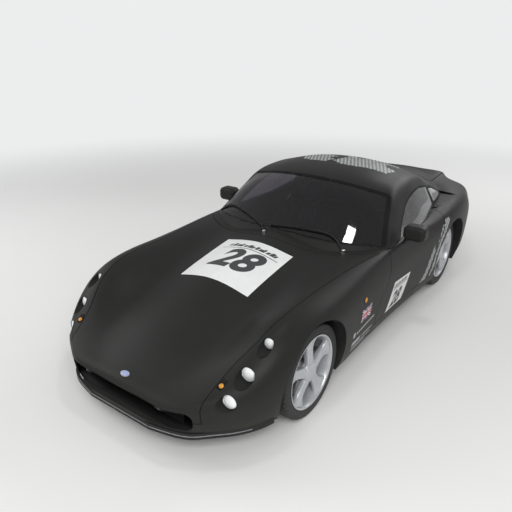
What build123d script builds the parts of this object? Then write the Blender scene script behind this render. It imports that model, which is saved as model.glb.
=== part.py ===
from build123d import *
from math import cos, hypot, pi, radians, sin
import os

os.makedirs("parts", exist_ok=True)

# The frame: +X is the car's left, +Y points rearwards, +Z is up.
# The origin lies on the ground, midway between nose and tail.

# ---------------------------------------------------------------- overall sizes
LENGTH = 4235.0
WIDTH = 1810.0
HEIGHT = 1200.0
WHEELBASE = 2361.0
FRONT_OVERHANG = 830.0
UNDERSIDE = 150.0               # lowest face of floor pan and splitter

# ---------------------------------------------------------------- walls and gaps
SKIN = 22.0                     # composite body panels
ROOF_WALL = 30.0                # roof, pillars and window surrounds
DOOR_WALL = 105.0               # a whole door, from skin to trim
GLASS = 5.0
GLASS_SET_IN = 2.0              # how far the glass lies below the outer surface
FLOOR_THICKNESS = 25.0
LINER = 5.0
SHUT_GAP = 5.0                  # round every panel that opens
SEAT_GAP = 0.3                  # between pieces that rest on each other
BOOT_GAP = 8.0                  # round the boot lid, whose edges swing close past the rim
RUNNING_GAP = 0.05              # radial play of a shaft in its bore

# ---------------------------------------------------------------- wheels and brakes
FRONT_TYRE_RADIUS = 307.0
FRONT_TYRE_WIDTH = 225.0
REAR_TYRE_RADIUS = 318.0
REAR_TYRE_WIDTH = 255.0
FRONT_TYRE_INSET = 72.0         # from the car's widest plane to the tyre's outer face
REAR_TYRE_INSET = 82.0
RIM_LIP_RADIUS = 241.0
BEAD_RADIUS = 228.6
RIM_WELL_RADIUS = 205.0
RIM_LIP = 9.0
SPOKE_COUNT = 5
SPOKE_THICKNESS = 42.0
HUB_RADIUS = 72.0
HUB_CAP_RADIUS = 60.0
DISC_RADIUS = 165.0
DISC_THICKNESS = 26.0
DISC_BELL_RADIUS = 78.0
CALIPER_GAP = 3.0
STUB_RADIUS = 25.0
ARCH_RADIUS_FRONT = FRONT_TYRE_RADIUS + 38.0
ARCH_RADIUS_REAR = REAR_TYRE_RADIUS + 20.0

# ---------------------------------------------------------------- steering
KINGPIN_INSET = 20.0            # kingpin axis inboard of the tyre's centre plane
KINGPIN_RADIUS = 10.0
BALL_JOINT_SPAN = 220.0         # between the two arms at the kingpin
STEERING_ARM = 120.0
STEERING_WHEEL_RADIUS = 170.0
STEERING_WHEEL_GRIP = 15.0
COLUMN_RAKE = 22.0              # degrees below level, running forward
COLUMN_RADIUS = 14.0

# ---------------------------------------------------------------- cabin
DRIVER_X = 370.0
SEAT_WIDTH = 470.0
TUNNEL_WIDTH = 260.0
TUNNEL_HEIGHT = 270.0

# ---------------------------------------------------------------- places along the car
NOSE_Y = -LENGTH / 2
TAIL_Y = LENGTH / 2
FRONT_AXLE_Y = NOSE_Y + FRONT_OVERHANG
REAR_AXLE_Y = FRONT_AXLE_Y + WHEELBASE
HALF_WIDTH = WIDTH / 2
FLOOR_TOP = UNDERSIDE + FLOOR_THICKNESS
FRONT_WHEEL_X = HALF_WIDTH - FRONT_TYRE_INSET - FRONT_TYRE_WIDTH / 2
REAR_WHEEL_X = HALF_WIDTH - REAR_TYRE_INSET - REAR_TYRE_WIDTH / 2
KINGPIN_X = FRONT_WHEEL_X - KINGPIN_INSET


def at(station):
    """Distance along the car: 0 nose, 1 front axle, 2 rear axle, 3 tail."""
    marks = [NOSE_Y, FRONT_AXLE_Y, REAR_AXLE_Y, TAIL_Y]
    index = min(max(int(station), 0), 2)
    return marks[index] + (station - index) * (marks[index + 1] - marks[index])


class Fair:
    """A fair line through (station, value) points, as a batten bends."""

    def __init__(self, points):
        self.y = [at(p[0]) for p in points]
        self.v = [p[1] for p in points]
        last = len(points) - 1
        step = [self.y[i + 1] - self.y[i] for i in range(last)]
        rise = [(self.v[i + 1] - self.v[i]) / step[i] for i in range(last)]
        low = [0.0] + [step[i] for i in range(1, last)] + [1.0]
        mid = [2.0] + [2 * (step[i - 1] + step[i]) for i in range(1, last)] + [2.0]
        high = [1.0] + [step[i - 1] for i in range(1, last)]
        right = [3 * rise[0]]
        for i in range(1, last):
            right.append(3 * (step[i] * rise[i - 1] + step[i - 1] * rise[i]))
        right.append(3 * rise[-1])
        for i in range(1, last + 1):
            factor = low[i] / mid[i - 1]
            mid[i] -= factor * high[i - 1]
            right[i] -= factor * right[i - 1]
        self.slope = [0.0] * (last + 1)
        self.slope[last] = right[last] / mid[last]
        for i in range(last - 1, -1, -1):
            self.slope[i] = (right[i] - high[i] * self.slope[i + 1]) / mid[i]

    def __call__(self, y):
        y = min(max(y, self.y[0]), self.y[-1])
        i = 0
        while i < len(self.y) - 2 and y > self.y[i + 1]:
            i += 1
        step = self.y[i + 1] - self.y[i]
        t = (y - self.y[i]) / step
        start = self.v[i] * (1 + 2 * t) * (1 - t) ** 2
        end = self.v[i + 1] * t * t * (3 - 2 * t)
        bend = self.slope[i] * t * (1 - t) ** 2 - self.slope[i + 1] * t * t * (1 - t)
        return start + end + step * bend


# ---------------------------------------------------------------- lines of the body
# Heights are above the ground; "in_" lines are measured inwards from the widest plane,
# "down_" lines downwards from the roof's highest point.
centre_height = Fair([(0, 300), (0.027, 340), (0.093, 376), (0.298, 455), (0.602, 565), (0.864, 640),
                      (1.047, 705), (1.164, 755), (1.262, 785), (1.355, 800), (1.545, 800),
                      (1.842, 800), (2.217, 810), (2.6, 850), (2.887, 842), (2.974, 825), (3, 800)])
crown_depth = Fair([(0, 5), (0.093, 8), (0.298, 15), (0.602, 35), (1.025, 62), (1.253, 60),
                    (1.376, 50), (1.545, 50), (2.217, 40), (3, 10)])
valley_x = Fair([(0, 150), (0.142, 260), (0.602, 380), (1.025, 400), (1.334, 420), (3, 400)])
in_crest = Fair([(0, 745), (0.027, 575), (0.093, 435), (0.202, 345), (0.298, 305), (0.503, 240),
                 (0.744, 212), (1.025, 200), (1.249, 176), (1.418, 135), (1.588, 125), (1.842, 140),
                 (2, 165), (2.409, 215), (2.792, 305), (2.935, 405), (3, 555)])
crest_height = Fair([(0, 300), (0.027, 335), (0.093, 372), (0.202, 420), (0.298, 474), (0.411, 545),
                     (0.602, 655), (0.804, 715), (0.985, 735), (1.122, 742), (1.249, 752),
                     (1.418, 758), (1.672, 752), (1.884, 765), (2, 800), (2.265, 815), (2.6, 800),
                     (2.887, 765), (3, 730)])
in_flank = Fair([(0, 735), (0.021, 575), (0.069, 430), (0.142, 325), (0.262, 205), (0.383, 128),
                 (0.563, 62), (0.804, 28), (1, 18), (1.122, 22), (1.291, 38), (1.545, 45),
                 (1.757, 28), (1.927, 5), (2.025, 0), (2.265, 8), (2.552, 55), (2.792, 145),
                 (2.935, 285), (3, 475)])
flank_height = Fair([(0, 285), (0.142, 340), (0.503, 440), (0.985, 500), (1.291, 520),
                     (1.672, 540), (2, 580), (2.6, 560), (3, 540)])
in_foot = Fair([(0, 745), (0.081, 465), (0.142, 385), (0.322, 235), (0.623, 115), (1, 75),
                (1.291, 84), (1.672, 82), (2, 45), (2.409, 65), (2.792, 215), (3, 485)])
foot_height = Fair([(0, 180), (0.262, 165), (0.744, 170), (1.122, 175), (1.672, 160),
                    (1.969, 180), (2.504, 230), (3, 330)])
down_roof = Fair([(1.206, 680), (1.291, 510), (1.355, 388), (1.448, 210), (1.539, 51),
                  (1.571, 28), (1.63, 8), (1.736, 0), (1.842, 22), (1.92, 68), (2.169, 185),
                  (2.523, 300), (2.744, 339), (2.935, 362)])
in_belt = Fair([(1.206, 205), (1.355, 145), (1.455, 105), (1.545, 110), (1.715, 115),
                (1.922, 153), (2.121, 200), (2.313, 240), (2.6, 315), (2.935, 405)])
in_rail = Fair([(1.206, 330), (1.355, 205), (1.455, 145), (1.545, 190), (1.608, 242), (1.715, 265),
                (1.842, 285), (1.935, 305), (2.169, 365), (2.504, 435), (2.935, 485)])
down_rail = Fair([(1.206, 700), (1.355, 540), (1.455, 415), (1.545, 276), (1.608, 163),
                  (1.672, 130), (1.736, 125), (1.842, 145), (1.935, 190), (2.169, 295),
                  (2.504, 380), (2.935, 440)])
belt_height = Fair([(1.206, 480), (1.355, 600), (1.455, 740), (1.545, 745), (1.715, 748),
                    (1.922, 755), (2.313, 770), (2.935, 700)])

BODY_STATIONS = [0.007, 0.021, 0.045, 0.081, 0.13, 0.19, 0.274, 0.383, 0.527, 0.696, 0.889,
                 1.037, 1.122, 1.228, 1.355, 1.482, 1.609, 1.736, 1.863, 1.969, 2.121, 2.313,
                 2.504, 2.677, 2.82, 2.916, 2.969, 2.995]
CAVITY_STATIONS = [0.05, 0.081, 0.13, 0.19, 0.274, 0.383, 0.527, 0.696, 0.889, 1.037, 1.122,
                   1.228, 1.355, 1.482, 1.609, 1.736, 1.863, 1.969, 2.121, 2.313, 2.504,
                   2.677, 2.82, 2.916, 2.96]
CANOPY_STATIONS = [1.274, 1.316, 1.355, 1.397, 1.448, 1.495, 1.539, 1.571, 1.609, 1.672, 1.736,
                   1.799, 1.863, 1.927, 2.025, 2.217, 2.409, 2.6, 2.744, 2.849, 2.926]


def body_section(y):
    """Half of a cross-section below the windows, from the centreline to the foot."""
    top = centre_height(y)
    dip = crown_depth(y)
    low_x = valley_x(y)
    crest = HALF_WIDTH - in_crest(y)
    crest_z = crest_height(y)
    flank = HALF_WIDTH - in_flank(y)
    flank_z = flank_height(y)
    foot = HALF_WIDTH - in_foot(y)
    foot_z = foot_height(y)
    return [
        (0, top),
        (low_x * 0.5, top - 0.42 * dip),
        (low_x, top - dip),
        ((low_x + crest) / 2, (top - dip + crest_z) / 2),
        (crest, crest_z),
        (crest + (flank - crest) * 0.66, crest_z - (crest_z - flank_z) * 0.17),
        (crest + (flank - crest) * 0.95, crest_z - (crest_z - flank_z) * 0.54),
        (flank, flank_z),
        (flank - (flank - foot) * 0.30, foot_z + (flank_z - foot_z) * 0.45),
        (foot, foot_z),
    ]


def canopy_section(y):
    """Half of a cross-section of the cabin top, from the centreline to below the belt."""
    top = HEIGHT - down_roof(y)
    rail = HALF_WIDTH - in_rail(y)
    rail_z = HEIGHT - down_rail(y)
    belt = HALF_WIDTH - in_belt(y)
    belt_z = belt_height(y)
    return [
        (0, top),
        (rail * 0.5, top - (top - rail_z) * 0.19),
        (rail * 0.85, top - (top - rail_z) * 0.62),
        (rail, rail_z),
        (rail + (belt - rail) * 0.55, rail_z - (rail_z - belt_z) * 0.48),
        (belt, belt_z),
        (belt + 10, belt_z - 120),
    ]


def inset(points, depth, extra_drop=0.0):
    """The same half section, moved inwards by depth along its own normals."""
    moved = []
    last = len(points) - 1
    for i, (x, z) in enumerate(points):
        before = points[max(i - 1, 0)]
        after = points[min(i + 1, last)]
        if i == 0:
            before = (-after[0], after[1])
        dx = after[0] - before[0]
        dz = after[1] - before[1]
        size = hypot(dx, dz)
        moved.append((x + depth * dz / size, z - depth * dx / size))
    moved[0] = (0, moved[0][1])
    moved[-1] = (points[-1][0] - depth, points[-1][1] - extra_drop)
    return moved


def section_wire(half, y):
    right = [Vector(-x, y, z) for x, z in half[:0:-1]]
    left = [Vector(x, y, z) for x, z in half]
    points = right + left
    spacing = [i / (len(points) - 1) for i in range(len(points))]
    outline = Edge.make_spline(points, parameters=spacing)
    return Wire([outline, Edge.make_line(points[-1], points[0])])


def lofted(section, stations):
    return Solid.make_loft([section_wire(section(at(s)), at(s)) for s in stations])


def direction(a, b):
    size = hypot(b[0] - a[0], b[1] - a[1])
    return ((b[0] - a[0]) / size, (b[1] - a[1]) / size)


def grown(runs, amount):
    """The same outline, moved outwards by amount, with mitred corners."""
    loop = [p for run in runs for p in run[:-1]]
    pairs = zip(loop, loop[1:] + loop[:1])
    turn = sum(a[0] * b[1] - b[0] * a[1] for a, b in pairs)
    side = 1.0 if turn > 0 else -1.0

    def shifted(point, before, after):
        normal_x = side * (before[1] + after[1])
        normal_y = -side * (before[0] + after[0])
        scale = 1 + before[0] * after[0] + before[1] * after[1]
        return (point[0] + amount * normal_x / scale, point[1] + amount * normal_y / scale)

    result = []
    for index, run in enumerate(runs):
        last = len(run) - 1
        previous = runs[index - 1]
        following = runs[(index + 1) % len(runs)]
        moved = []
        for i, point in enumerate(run):
            before = direction(run[i - 1], point) if i else direction(previous[-2], previous[-1])
            after = direction(point, run[i + 1]) if i < last else direction(*following[:2])
            moved.append(shifted(point, before, after))
        result.append(moved)
    return result


def outline_face(runs, to_point):
    """A flat face bounded by runs of points: two make a line, more a spline."""
    edges = []
    for run in runs:
        points = [to_point(p) for p in run]
        if len(points) == 2:
            edges.append(Edge.make_line(*points))
        else:
            edges.append(Edge.make_spline(points))
    return Face(Wire(edges))


def plan_prism(runs, low, high, grow=0.0):
    """A block seen from above as the outline, from height low to high."""
    face = outline_face(grown(runs, grow), lambda p: Vector(p[0], p[1], low))
    return Solid.extrude(face, Vector(0, 0, high - low))


def side_prism(runs, low, high, grow=0.0):
    """A block seen from the side as the outline, from X low to high."""
    face = outline_face(grown(runs, grow), lambda p: Vector(low, p[0], p[1]))
    return Solid.extrude(face, Vector(high - low, 0, 0))


def block(low, high):
    size = [b - a for a, b in zip(low, high)]
    middle = [(a + b) / 2 for a, b in zip(low, high)]
    return Pos(*middle) * Box(*size)


def x_cylinder(radius, x_low, x_high, y, z):
    return Pos((x_low + x_high) / 2, y, z) * Rot(0, 90, 0) * Cylinder(radius, x_high - x_low)


def rod(start, end, radius):
    """A round bar from start to end."""
    a, b = Vector(*start), Vector(*end)
    plane = Plane(origin=a, z_dir=(b - a).normalized())
    return Solid.make_cylinder(radius, (b - a).length, plane)


def both_sides(shape):
    return [shape, shape.mirror(Plane.YZ)]


def group(shapes):
    """Several solids of one node."""
    solids = []
    for shape in shapes:
        solids.extend(shape.solids())
    return Compound(children=solids)


def save(name, shape):
    export_step(shape, f"parts/{name}.step")


# ---------------------------------------------------------------- outlines of the openings
SEAM_STATIONS = [0.081, 0.13, 0.185, 0.256, 0.334, 0.397, 0.473, 0.542, 0.66, 0.82, 1.007, 1.109,
                 1.208, 1.31, 1.41]
in_seam = Fair([(0.081, 345), (0.13, 347), (0.185, 343), (0.256, 333), (0.334, 318), (0.397, 302),
                (0.473, 275), (0.542, 250), (0.66, 226), (0.82, 208), (1.007, 200), (1.109, 198),
                (1.208, 185), (1.31, 160), (1.41, 128)])


def seam_x(y):
    """Bonnet shut line, near the crest of the wing."""
    return HALF_WIDTH - in_seam(y)


def bonnet_runs():
    side = [(seam_x(at(s)), at(s)) for s in SEAM_STATIONS]
    corner = side[-1]
    rear = [corner, (corner[0] * 0.8, at(1.347)), (corner[0] * 0.5, at(1.311)), (0, at(1.293))]
    rear += [(-x, y) for x, y in rear[-2::-1]]
    tip = (side[0][0], NOSE_Y - 100)
    mirrored = [(-x, y) for x, y in side]
    far_tip = (-tip[0], tip[1])
    return [[tip, side[0]], side, rear, mirrored[::-1], [mirrored[0], far_tip], [far_tip, tip]]


DOOR_SILL_HEIGHT = 250.0
DOOR_TOP = 840.0                # above the belt, where the door's block ends


def door_runs():
    front = [(at(1.449), DOOR_TOP), (at(1.444), 677), (at(1.406), 493), (at(1.37), 406),
             (at(1.362), 320), (at(1.364), DOOR_SILL_HEIGHT)]
    rear = [(at(1.80), DOOR_SILL_HEIGHT), (at(1.812), 330), (at(1.835), 500), (at(1.885), 680),
            (at(1.925), DOOR_TOP)]
    return [front, [front[-1], rear[0]], rear, [rear[-1], front[0]]]


def side_window_runs(bottom):
    front = [(at(1.557), bottom), (at(1.557), HEIGHT - 440)]
    arch = [front[-1], (at(1.585), HEIGHT - 372), (at(1.635), HEIGHT - 285), (at(1.69), HEIGHT - 222),
            (at(1.76), HEIGHT - 193), (at(1.84), HEIGHT - 197), (at(1.923), HEIGHT - 235)]
    back = (at(1.923), bottom)
    return [front, arch, [arch[-1], back], [back, front[0]]]


def quarter_window_runs():
    top = (at(1.948), HEIGHT - 268)
    low = (at(1.942), HEIGHT - 412)
    tip = (at(2.27), HEIGHT - 398)
    return [[top, low], [low, tip], [tip, (at(2.14), HEIGHT - 330), top]]


def rear_window_runs():
    front = [(-525, at(1.985)), (0, at(1.972)), (525, at(1.985))]
    rear = [(435, at(2.41)), (0, at(2.425)), (-435, at(2.41))]
    return [front, [front[-1], rear[0]], rear, [rear[-1], front[0]]]


def boot_runs():
    return [[(-450, at(2.505)), (450, at(2.505))], [(450, at(2.505)), (425, at(2.92))],
            [(425, at(2.92)), (0, at(2.935)), (-425, at(2.92))],
            [(-425, at(2.92)), (-450, at(2.505))]]


SCREEN_RAKE = 38.8              # degrees above level


def windscreen_block(grow=0.0):
    """A block square to the windscreen, as wide and high as its opening."""
    rake = radians(SCREEN_RAKE)

    def up_slope(station, down):
        return at(station) * cos(rake) + (HEIGHT - down) * sin(rake)

    base_mid = up_slope(1.355, 398)
    base_end = up_slope(1.455, 440)
    top_mid = up_slope(1.539, 51)
    top_end = up_slope(1.608, 165)
    half_base = HALF_WIDTH - 125
    half_top = HALF_WIDTH - 262
    base = [(-half_base, base_end), (-half_base * 0.55, base_mid + (base_end - base_mid) * 0.14),
            (0, base_mid), (half_base * 0.55, base_mid + (base_end - base_mid) * 0.14),
            (half_base, base_end)]
    top = [(half_top, top_end), (0, top_mid), (-half_top, top_end)]
    runs = [base, [base[-1], top[0]], top, [top[-1], base[0]]]
    plane = Plane(origin=(0, 0, 0), x_dir=(1, 0, 0), z_dir=(0, -sin(rake), cos(rake)))
    placed = outline_face(grown(runs, grow), lambda p: plane.from_local_coords(Vector(*p)))
    placed = placed.fillet_2d(45, placed.vertices())
    return Solid.extrude(placed, plane.z_dir * 2000)


# ---------------------------------------------------------------- masses of the body
def cabin_section(y):
    """Half of the room inside doors, posts and sills."""
    belt = HALF_WIDTH - in_belt(y) - ROOF_WALL
    flank = HALF_WIDTH - in_flank(y) - DOOR_WALL
    return [(0, 960), (belt * 0.6, 960), (belt, 900), (belt, 760), (flank, 620), (flank, 480),
            (flank - 15, 330), (flank - 30, FLOOR_TOP), (flank - 30, 0)]


def cabin_wire(half, y):
    ring = [Vector(x, y, z) for x, z in half] + [Vector(-x, y, z) for x, z in half[:0:-1]]
    return Wire.make_polygon(ring, close=True)


CABIN_FRONT = 1.284             # firewall
CABIN_REAR = 1.97               # behind the door openings
BULKHEAD = 1.9                  # rear bulkhead, behind the seats
FIREWALL_THICKNESS = 20.0


def cabin_room():
    stations = [CABIN_FRONT, 1.42, 1.56, 1.7, 1.84, CABIN_REAR]
    return Solid.make_loft([cabin_wire(cabin_section(at(s)), at(s)) for s in stations])


outer = lofted(body_section, BODY_STATIONS)
inner = lofted(lambda y: inset(body_section(y), SKIN, 90), CAVITY_STATIONS)
canopy = lofted(canopy_section, CANOPY_STATIONS)
canopy_room = lofted(lambda y: inset(canopy_section(y), ROOF_WALL, 60), CANOPY_STATIONS)
canopy_clear = lofted(lambda y: inset(canopy_section(y), -SHUT_GAP), CANOPY_STATIONS)
glass_outer = lofted(lambda y: inset(canopy_section(y), GLASS_SET_IN), CANOPY_STATIONS)
glass_inner = lofted(lambda y: inset(canopy_section(y), GLASS_SET_IN + GLASS, 60), CANOPY_STATIONS)
cabin = cabin_room()
skin = outer - inner
roof_shell = canopy - canopy_room
glass_sheet = glass_outer - glass_inner

front_arch_x = FRONT_WHEEL_X - FRONT_TYRE_WIDTH / 2 - 15
rear_arch_x = REAR_WHEEL_X - REAR_TYRE_WIDTH / 2 - 12
RAIL_X = 370.0                  # centre of each chassis rail
RAIL_SIZE = 60.0
STEER_ROOM_X = RAIL_X + RAIL_SIZE / 2 + 30
STEER_ROOM_TOP = 1.84 * FRONT_TYRE_RADIUS      # room for the whole tyre's swing ends here
STEER_CROWN_TOP = 2 * FRONT_TYRE_RADIUS + 16   # above it only the tyre's crown swings
STEER_CROWN_RADIUS = 230.0


def front_wheel_room(grow=0.0):
    """What a steered front wheel needs: the arch, and room for it to swing inboard."""
    arch = x_cylinder(ARCH_RADIUS_FRONT + grow, front_arch_x - grow, HALF_WIDTH + 60,
                      FRONT_AXLE_Y, FRONT_TYRE_RADIUS)
    swing = Pos(KINGPIN_X, FRONT_AXLE_Y, (STEER_ROOM_TOP + grow) / 2) * Cylinder(
        ARCH_RADIUS_FRONT + grow, STEER_ROOM_TOP + grow)
    crown = Pos(KINGPIN_X, FRONT_AXLE_Y, (STEER_CROWN_TOP + grow) / 2) * Cylinder(
        STEER_CROWN_RADIUS + grow, STEER_CROWN_TOP + grow)
    reach = ARCH_RADIUS_FRONT + 50
    keep = block((STEER_ROOM_X, FRONT_AXLE_Y - reach, -10),
                 (KINGPIN_X + 40, FRONT_AXLE_Y + reach, STEER_CROWN_TOP + 50))
    return arch + ((swing + crown) & keep)


def rear_wheel_room(grow=0.0):
    return x_cylinder(ARCH_RADIUS_REAR + grow, rear_arch_x - grow, HALF_WIDTH + 60,
                      REAR_AXLE_Y, REAR_TYRE_RADIUS)


def wheel_rooms(grow=0.0):
    rooms = both_sides(front_wheel_room(grow)) + both_sides(rear_wheel_room(grow))
    return rooms


# ---------------------------------------------------------------- body panels
BONNET_LOW = 268.0              # the bonnet ends in the corners of the mouth
BODY_SPLIT = 1.7                # front and rear mouldings meet under the door
SILL_FRONT = 1.35
SILL_REAR = 1.83
MOUTH_HALF_WIDTH = 520.0
MOUTH_LOW = 205.0
MOUTH_HIGH = 330.0
MOUTH_ROUND = 50.0


def mouth_block():
    depth = 420.0
    low = (-MOUTH_HALF_WIDTH, NOSE_Y - 100, MOUTH_LOW)
    high = (MOUTH_HALF_WIDTH, NOSE_Y - 100 + depth, MOUTH_HIGH)
    shape = block(low, high)
    return fillet(shape.edges().filter_by(Axis.Y), MOUTH_ROUND)


# each lamp: station, outboard of the wing's crest, below the crest, radius
LAMPS = [(0.625, 37, 37, 38), (0.427, 55, 48, 49), (0.272, 76, 67, 49)]
LAMP_TOE = 6.0                  # degrees that a lamp looks outboard
LAMP_DEPTH = 60.0
LAMP_RIM = 6.0


def lamp_places():
    places = []
    for station, outboard, below, radius in LAMPS:
        y = at(station)
        x = HALF_WIDTH - in_crest(y) + outboard
        places.append((x, y, crest_height(y) - below, radius))
    return places


def lamp_cylinder(place, radius, front, back):
    """A cylinder on a lamp's axis, from front of its lens to behind it."""
    x, y, z, _ = place
    toe = radians(LAMP_TOE)
    forward = Vector(sin(toe), -cos(toe), 0)
    start = Vector(x, y, z) - forward * back
    return Solid.make_cylinder(radius, front + back, Plane(origin=start, z_dir=forward))


def lamp_pits():
    pits = []
    for place in lamp_places():
        pits += both_sides(lamp_cylinder(place, place[3], 260, LAMP_DEPTH))
    return pits


def lamp_pods():
    """Wall round each lamp pit, behind the skin."""
    pods = []
    for place in lamp_places():
        tube = lamp_cylinder(place, place[3] + LAMP_RIM, 200, LAMP_DEPTH)
        pods += both_sides(tube & inner)
    return pods


def indicator_block():
    """Small round front indicator between the lower two lamps."""
    y = at(0.291)
    x = HALF_WIDTH - in_crest(y) + 8
    z = crest_height(y) - 2
    return Pos(x, y, z) * Rot(-35, 10, 0) * Cylinder(19, 60)


def repeater_block():
    """Oval side repeater on the wing behind the front wheel."""
    y = at(1.253)
    x = HALF_WIDTH - in_flank(y)
    oval = Pos(x - 20, y, flank_height(y) + 44) * Rot(0, 90, 0) * Cylinder(21, 60)
    return oval


bonnet_block = plan_prism(bonnet_runs(), BONNET_LOW, HEIGHT)
bonnet_hole = plan_prism(bonnet_runs(), BONNET_LOW - SHUT_GAP, HEIGHT + 10, SHUT_GAP)
door_block = side_prism(door_runs(), 300, HALF_WIDTH + 60)
door_hole = side_prism(door_runs(), 290, HALF_WIDTH + 70, SHUT_GAP)
door_frame_block = side_prism(door_runs(), 290, HALF_WIDTH + 70, 48)
window_hole = side_prism(side_window_runs(600), 300, HALF_WIDTH + 60)
window_block = side_prism(side_window_runs(700), 310, HALF_WIDTH + 50, -SHUT_GAP)
quarter_hole = side_prism(quarter_window_runs(), 300, HALF_WIDTH)
rear_window_hole = plan_prism(rear_window_runs(), 700, HEIGHT + 50)
boot_block = plan_prism(boot_runs(), 600, HEIGHT, SHUT_GAP - BOOT_GAP)
boot_hole = plan_prism(boot_runs(), 590, HEIGHT, SHUT_GAP)
windscreen_hole = windscreen_block()
SILL_INNER = HALF_WIDTH - 260   # the sills lie outboard of this
sill_block = block((SILL_INNER, at(SILL_FRONT), 0),
                   (HALF_WIDTH + 20, at(SILL_REAR), DOOR_SILL_HEIGHT - SHUT_GAP))
sill_blocks = both_sides(sill_block)


def cut(shape, tools):
    for tool in tools:
        shape = shape - tool
    return shape


def front_body():
    half = block((-HALF_WIDTH - 50, NOSE_Y - 50, 0),
                 (HALF_WIDTH + 50, at(BODY_SPLIT), HEIGHT))
    shape = skin & half
    pods = lamp_pods()
    for pod in pods:
        shape = shape + pod
    tools = [bonnet_hole, mouth_block(), canopy] + sill_blocks + both_sides(door_hole)
    tools += both_sides(front_wheel_room()) + lamp_pits()
    tools += both_sides(indicator_block()) + both_sides(repeater_block())
    return cut(shape, tools)


def rear_body():
    half = block((-HALF_WIDTH - 50, at(BODY_SPLIT), 0),
                 (HALF_WIDTH + 50, TAIL_Y + 50, HEIGHT))
    lower = cut(skin & half, [canopy] + sill_blocks + both_sides(door_hole))
    top = block((-HALF_WIDTH, at(ROOF_REAR), 600), (HALF_WIDTH, TAIL_Y, HEIGHT + 50))
    upper = roof_shell & top
    shape = lower + cut(upper, both_sides(window_hole) + both_sides(door_hole))
    tools = [boot_hole, rear_window_hole] + both_sides(quarter_hole)
    tools += both_sides(rear_wheel_room()) + tail_lamp_blocks()
    return cut(shape, tools) + boot_rim()


ROOF_FRONT = 1.64
ROOF_REAR = 1.93


def windscreen_frame():
    part = block((-HALF_WIDTH, at(CABIN_FRONT), 640), (HALF_WIDTH, at(ROOF_FRONT), HEIGHT + 50))
    shape = roof_shell & part
    return cut(shape, [windscreen_hole, bonnet_hole] + both_sides(window_hole))


def roof():
    part = block((-HALF_WIDTH, at(ROOF_FRONT), 640), (HALF_WIDTH, at(ROOF_REAR), HEIGHT + 50))
    return cut(roof_shell & part, both_sides(window_hole))


DOOR_STOPS = [(1.84, 550), (1.4, 480)]        # lugs on the posts that the shut door rests on
STOP_LENGTH = 90.0
STOP_HEIGHT = 50.0
STOP_DEPTH = 14.0


def door_stop(station, z):
    y = at(station)
    face = HALF_WIDTH - in_flank(y) - DOOR_WALL
    lug = block((face - STOP_DEPTH, y - STOP_LENGTH / 2, z - STOP_HEIGHT / 2),
                (face + 20, y + STOP_LENGTH / 2, z + STOP_HEIGHT / 2))
    return (lug - door_hole) + Pos(-SEAT_GAP, 0, 0) * (lug & cabin)


def door_frames():
    """Sills and posts round the door openings."""
    ring = cut(inner & door_frame_block, [door_hole, cabin, canopy, sill_block])
    ring = (ring - bonnet_hole) & block((0, NOSE_Y, FLOOR_TOP), (HALF_WIDTH, TAIL_Y, 740))
    sill = (outer & sill_block) - cabin
    sill = sill & block((SILL_INNER, NOSE_Y, 0), (HALF_WIDTH + 50, TAIL_Y, HEIGHT))
    shape = cut(ring + sill, [rear_wheel_room(), front_wheel_room()])
    for station, z in DOOR_STOPS:
        shape = shape + door_stop(station, z)
    return both_sides(shape)


def floor_pan():
    tail_floor = foot_height(at(2.96))
    flat_end = at(2.31)
    profile = [[(at(0.15), UNDERSIDE), (flat_end, UNDERSIDE)],
               [(flat_end, UNDERSIDE), (at(2.96), tail_floor)],
               [(at(2.96), tail_floor), (at(2.96), tail_floor + FLOOR_THICKNESS)],
               [(at(2.96), tail_floor + FLOOR_THICKNESS), (flat_end, FLOOR_TOP)],
               [(flat_end, FLOOR_TOP), (at(0.15), FLOOR_TOP)],
               [(at(0.15), FLOOR_TOP), (at(0.15), UNDERSIDE)]]
    slab = side_prism(profile, -HALF_WIDTH, HALF_WIDTH) & inner
    sills = [(outer & tool) - cabin for tool in sill_blocks]
    return cut(slab, wheel_rooms(LINER) + sills)


def splitter():
    plate = block((-HALF_WIDTH, NOSE_Y, UNDERSIDE), (HALF_WIDTH, at(0.6), 190))
    reach = 12.0
    rim = [(HALF_WIDTH - in_foot(at(s)) + reach, at(s) - reach) for s in
           (0.02, 0.06, 0.12, 0.2, 0.3, 0.42, 0.58)]
    other = [(-x, y) for x, y in rim]
    runs = [rim, [rim[-1], other[-1]], other[::-1], [other[0], rim[0]]]
    shape = plan_prism(runs, UNDERSIDE, 195) & plate
    return cut(shape, [outer, inner] + both_sides(front_wheel_room(LINER)))


def arch_liners():
    """Thin wheelhouse skins inside the wings."""
    front = front_wheel_room(LINER) - front_wheel_room()
    rear = rear_wheel_room(LINER) - rear_wheel_room()
    keep = block((0, NOSE_Y, FLOOR_TOP + SEAT_GAP), (HALF_WIDTH, TAIL_Y, HEIGHT))
    swing_keep = block((STEER_ROOM_X, NOSE_Y, FLOOR_TOP + SEAT_GAP), (HALF_WIDTH, 0, HEIGHT))
    rear_keep = block((rear_arch_x, 0, FLOOR_TOP + SEAT_GAP), (HALF_WIDTH, TAIL_Y, HEIGHT))
    under_bonnet = bonnet_hole - below_skin(SKIN + SHUT_GAP)
    front = cut((front & inner) & swing_keep, lamp_pits() + [cabin, under_bonnet])
    rear = cut((rear & inner) & rear_keep, [cabin, canopy])
    frames = door_frames()
    shapes = []
    for shape in (front & keep, rear & keep):
        shapes += both_sides(cut(shape, [frames[0], rear_wheel_room(), front_wheel_room()]))
    return shapes


# ---------------------------------------------------------------- tail lamps
TAIL_LAMPS = [(2.94, 395, 690, 46), (2.94, 390, 585, 46)]


def tail_lamp_blocks():
    """Round lamps let into the tail, two on each side."""
    shapes = []
    for station, x, z, radius in TAIL_LAMPS:
        y = at(station)
        shapes += both_sides(Pos(x, y + 20, z) * Rot(90, 0, 0) * Cylinder(radius, 200))
    return shapes


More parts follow.
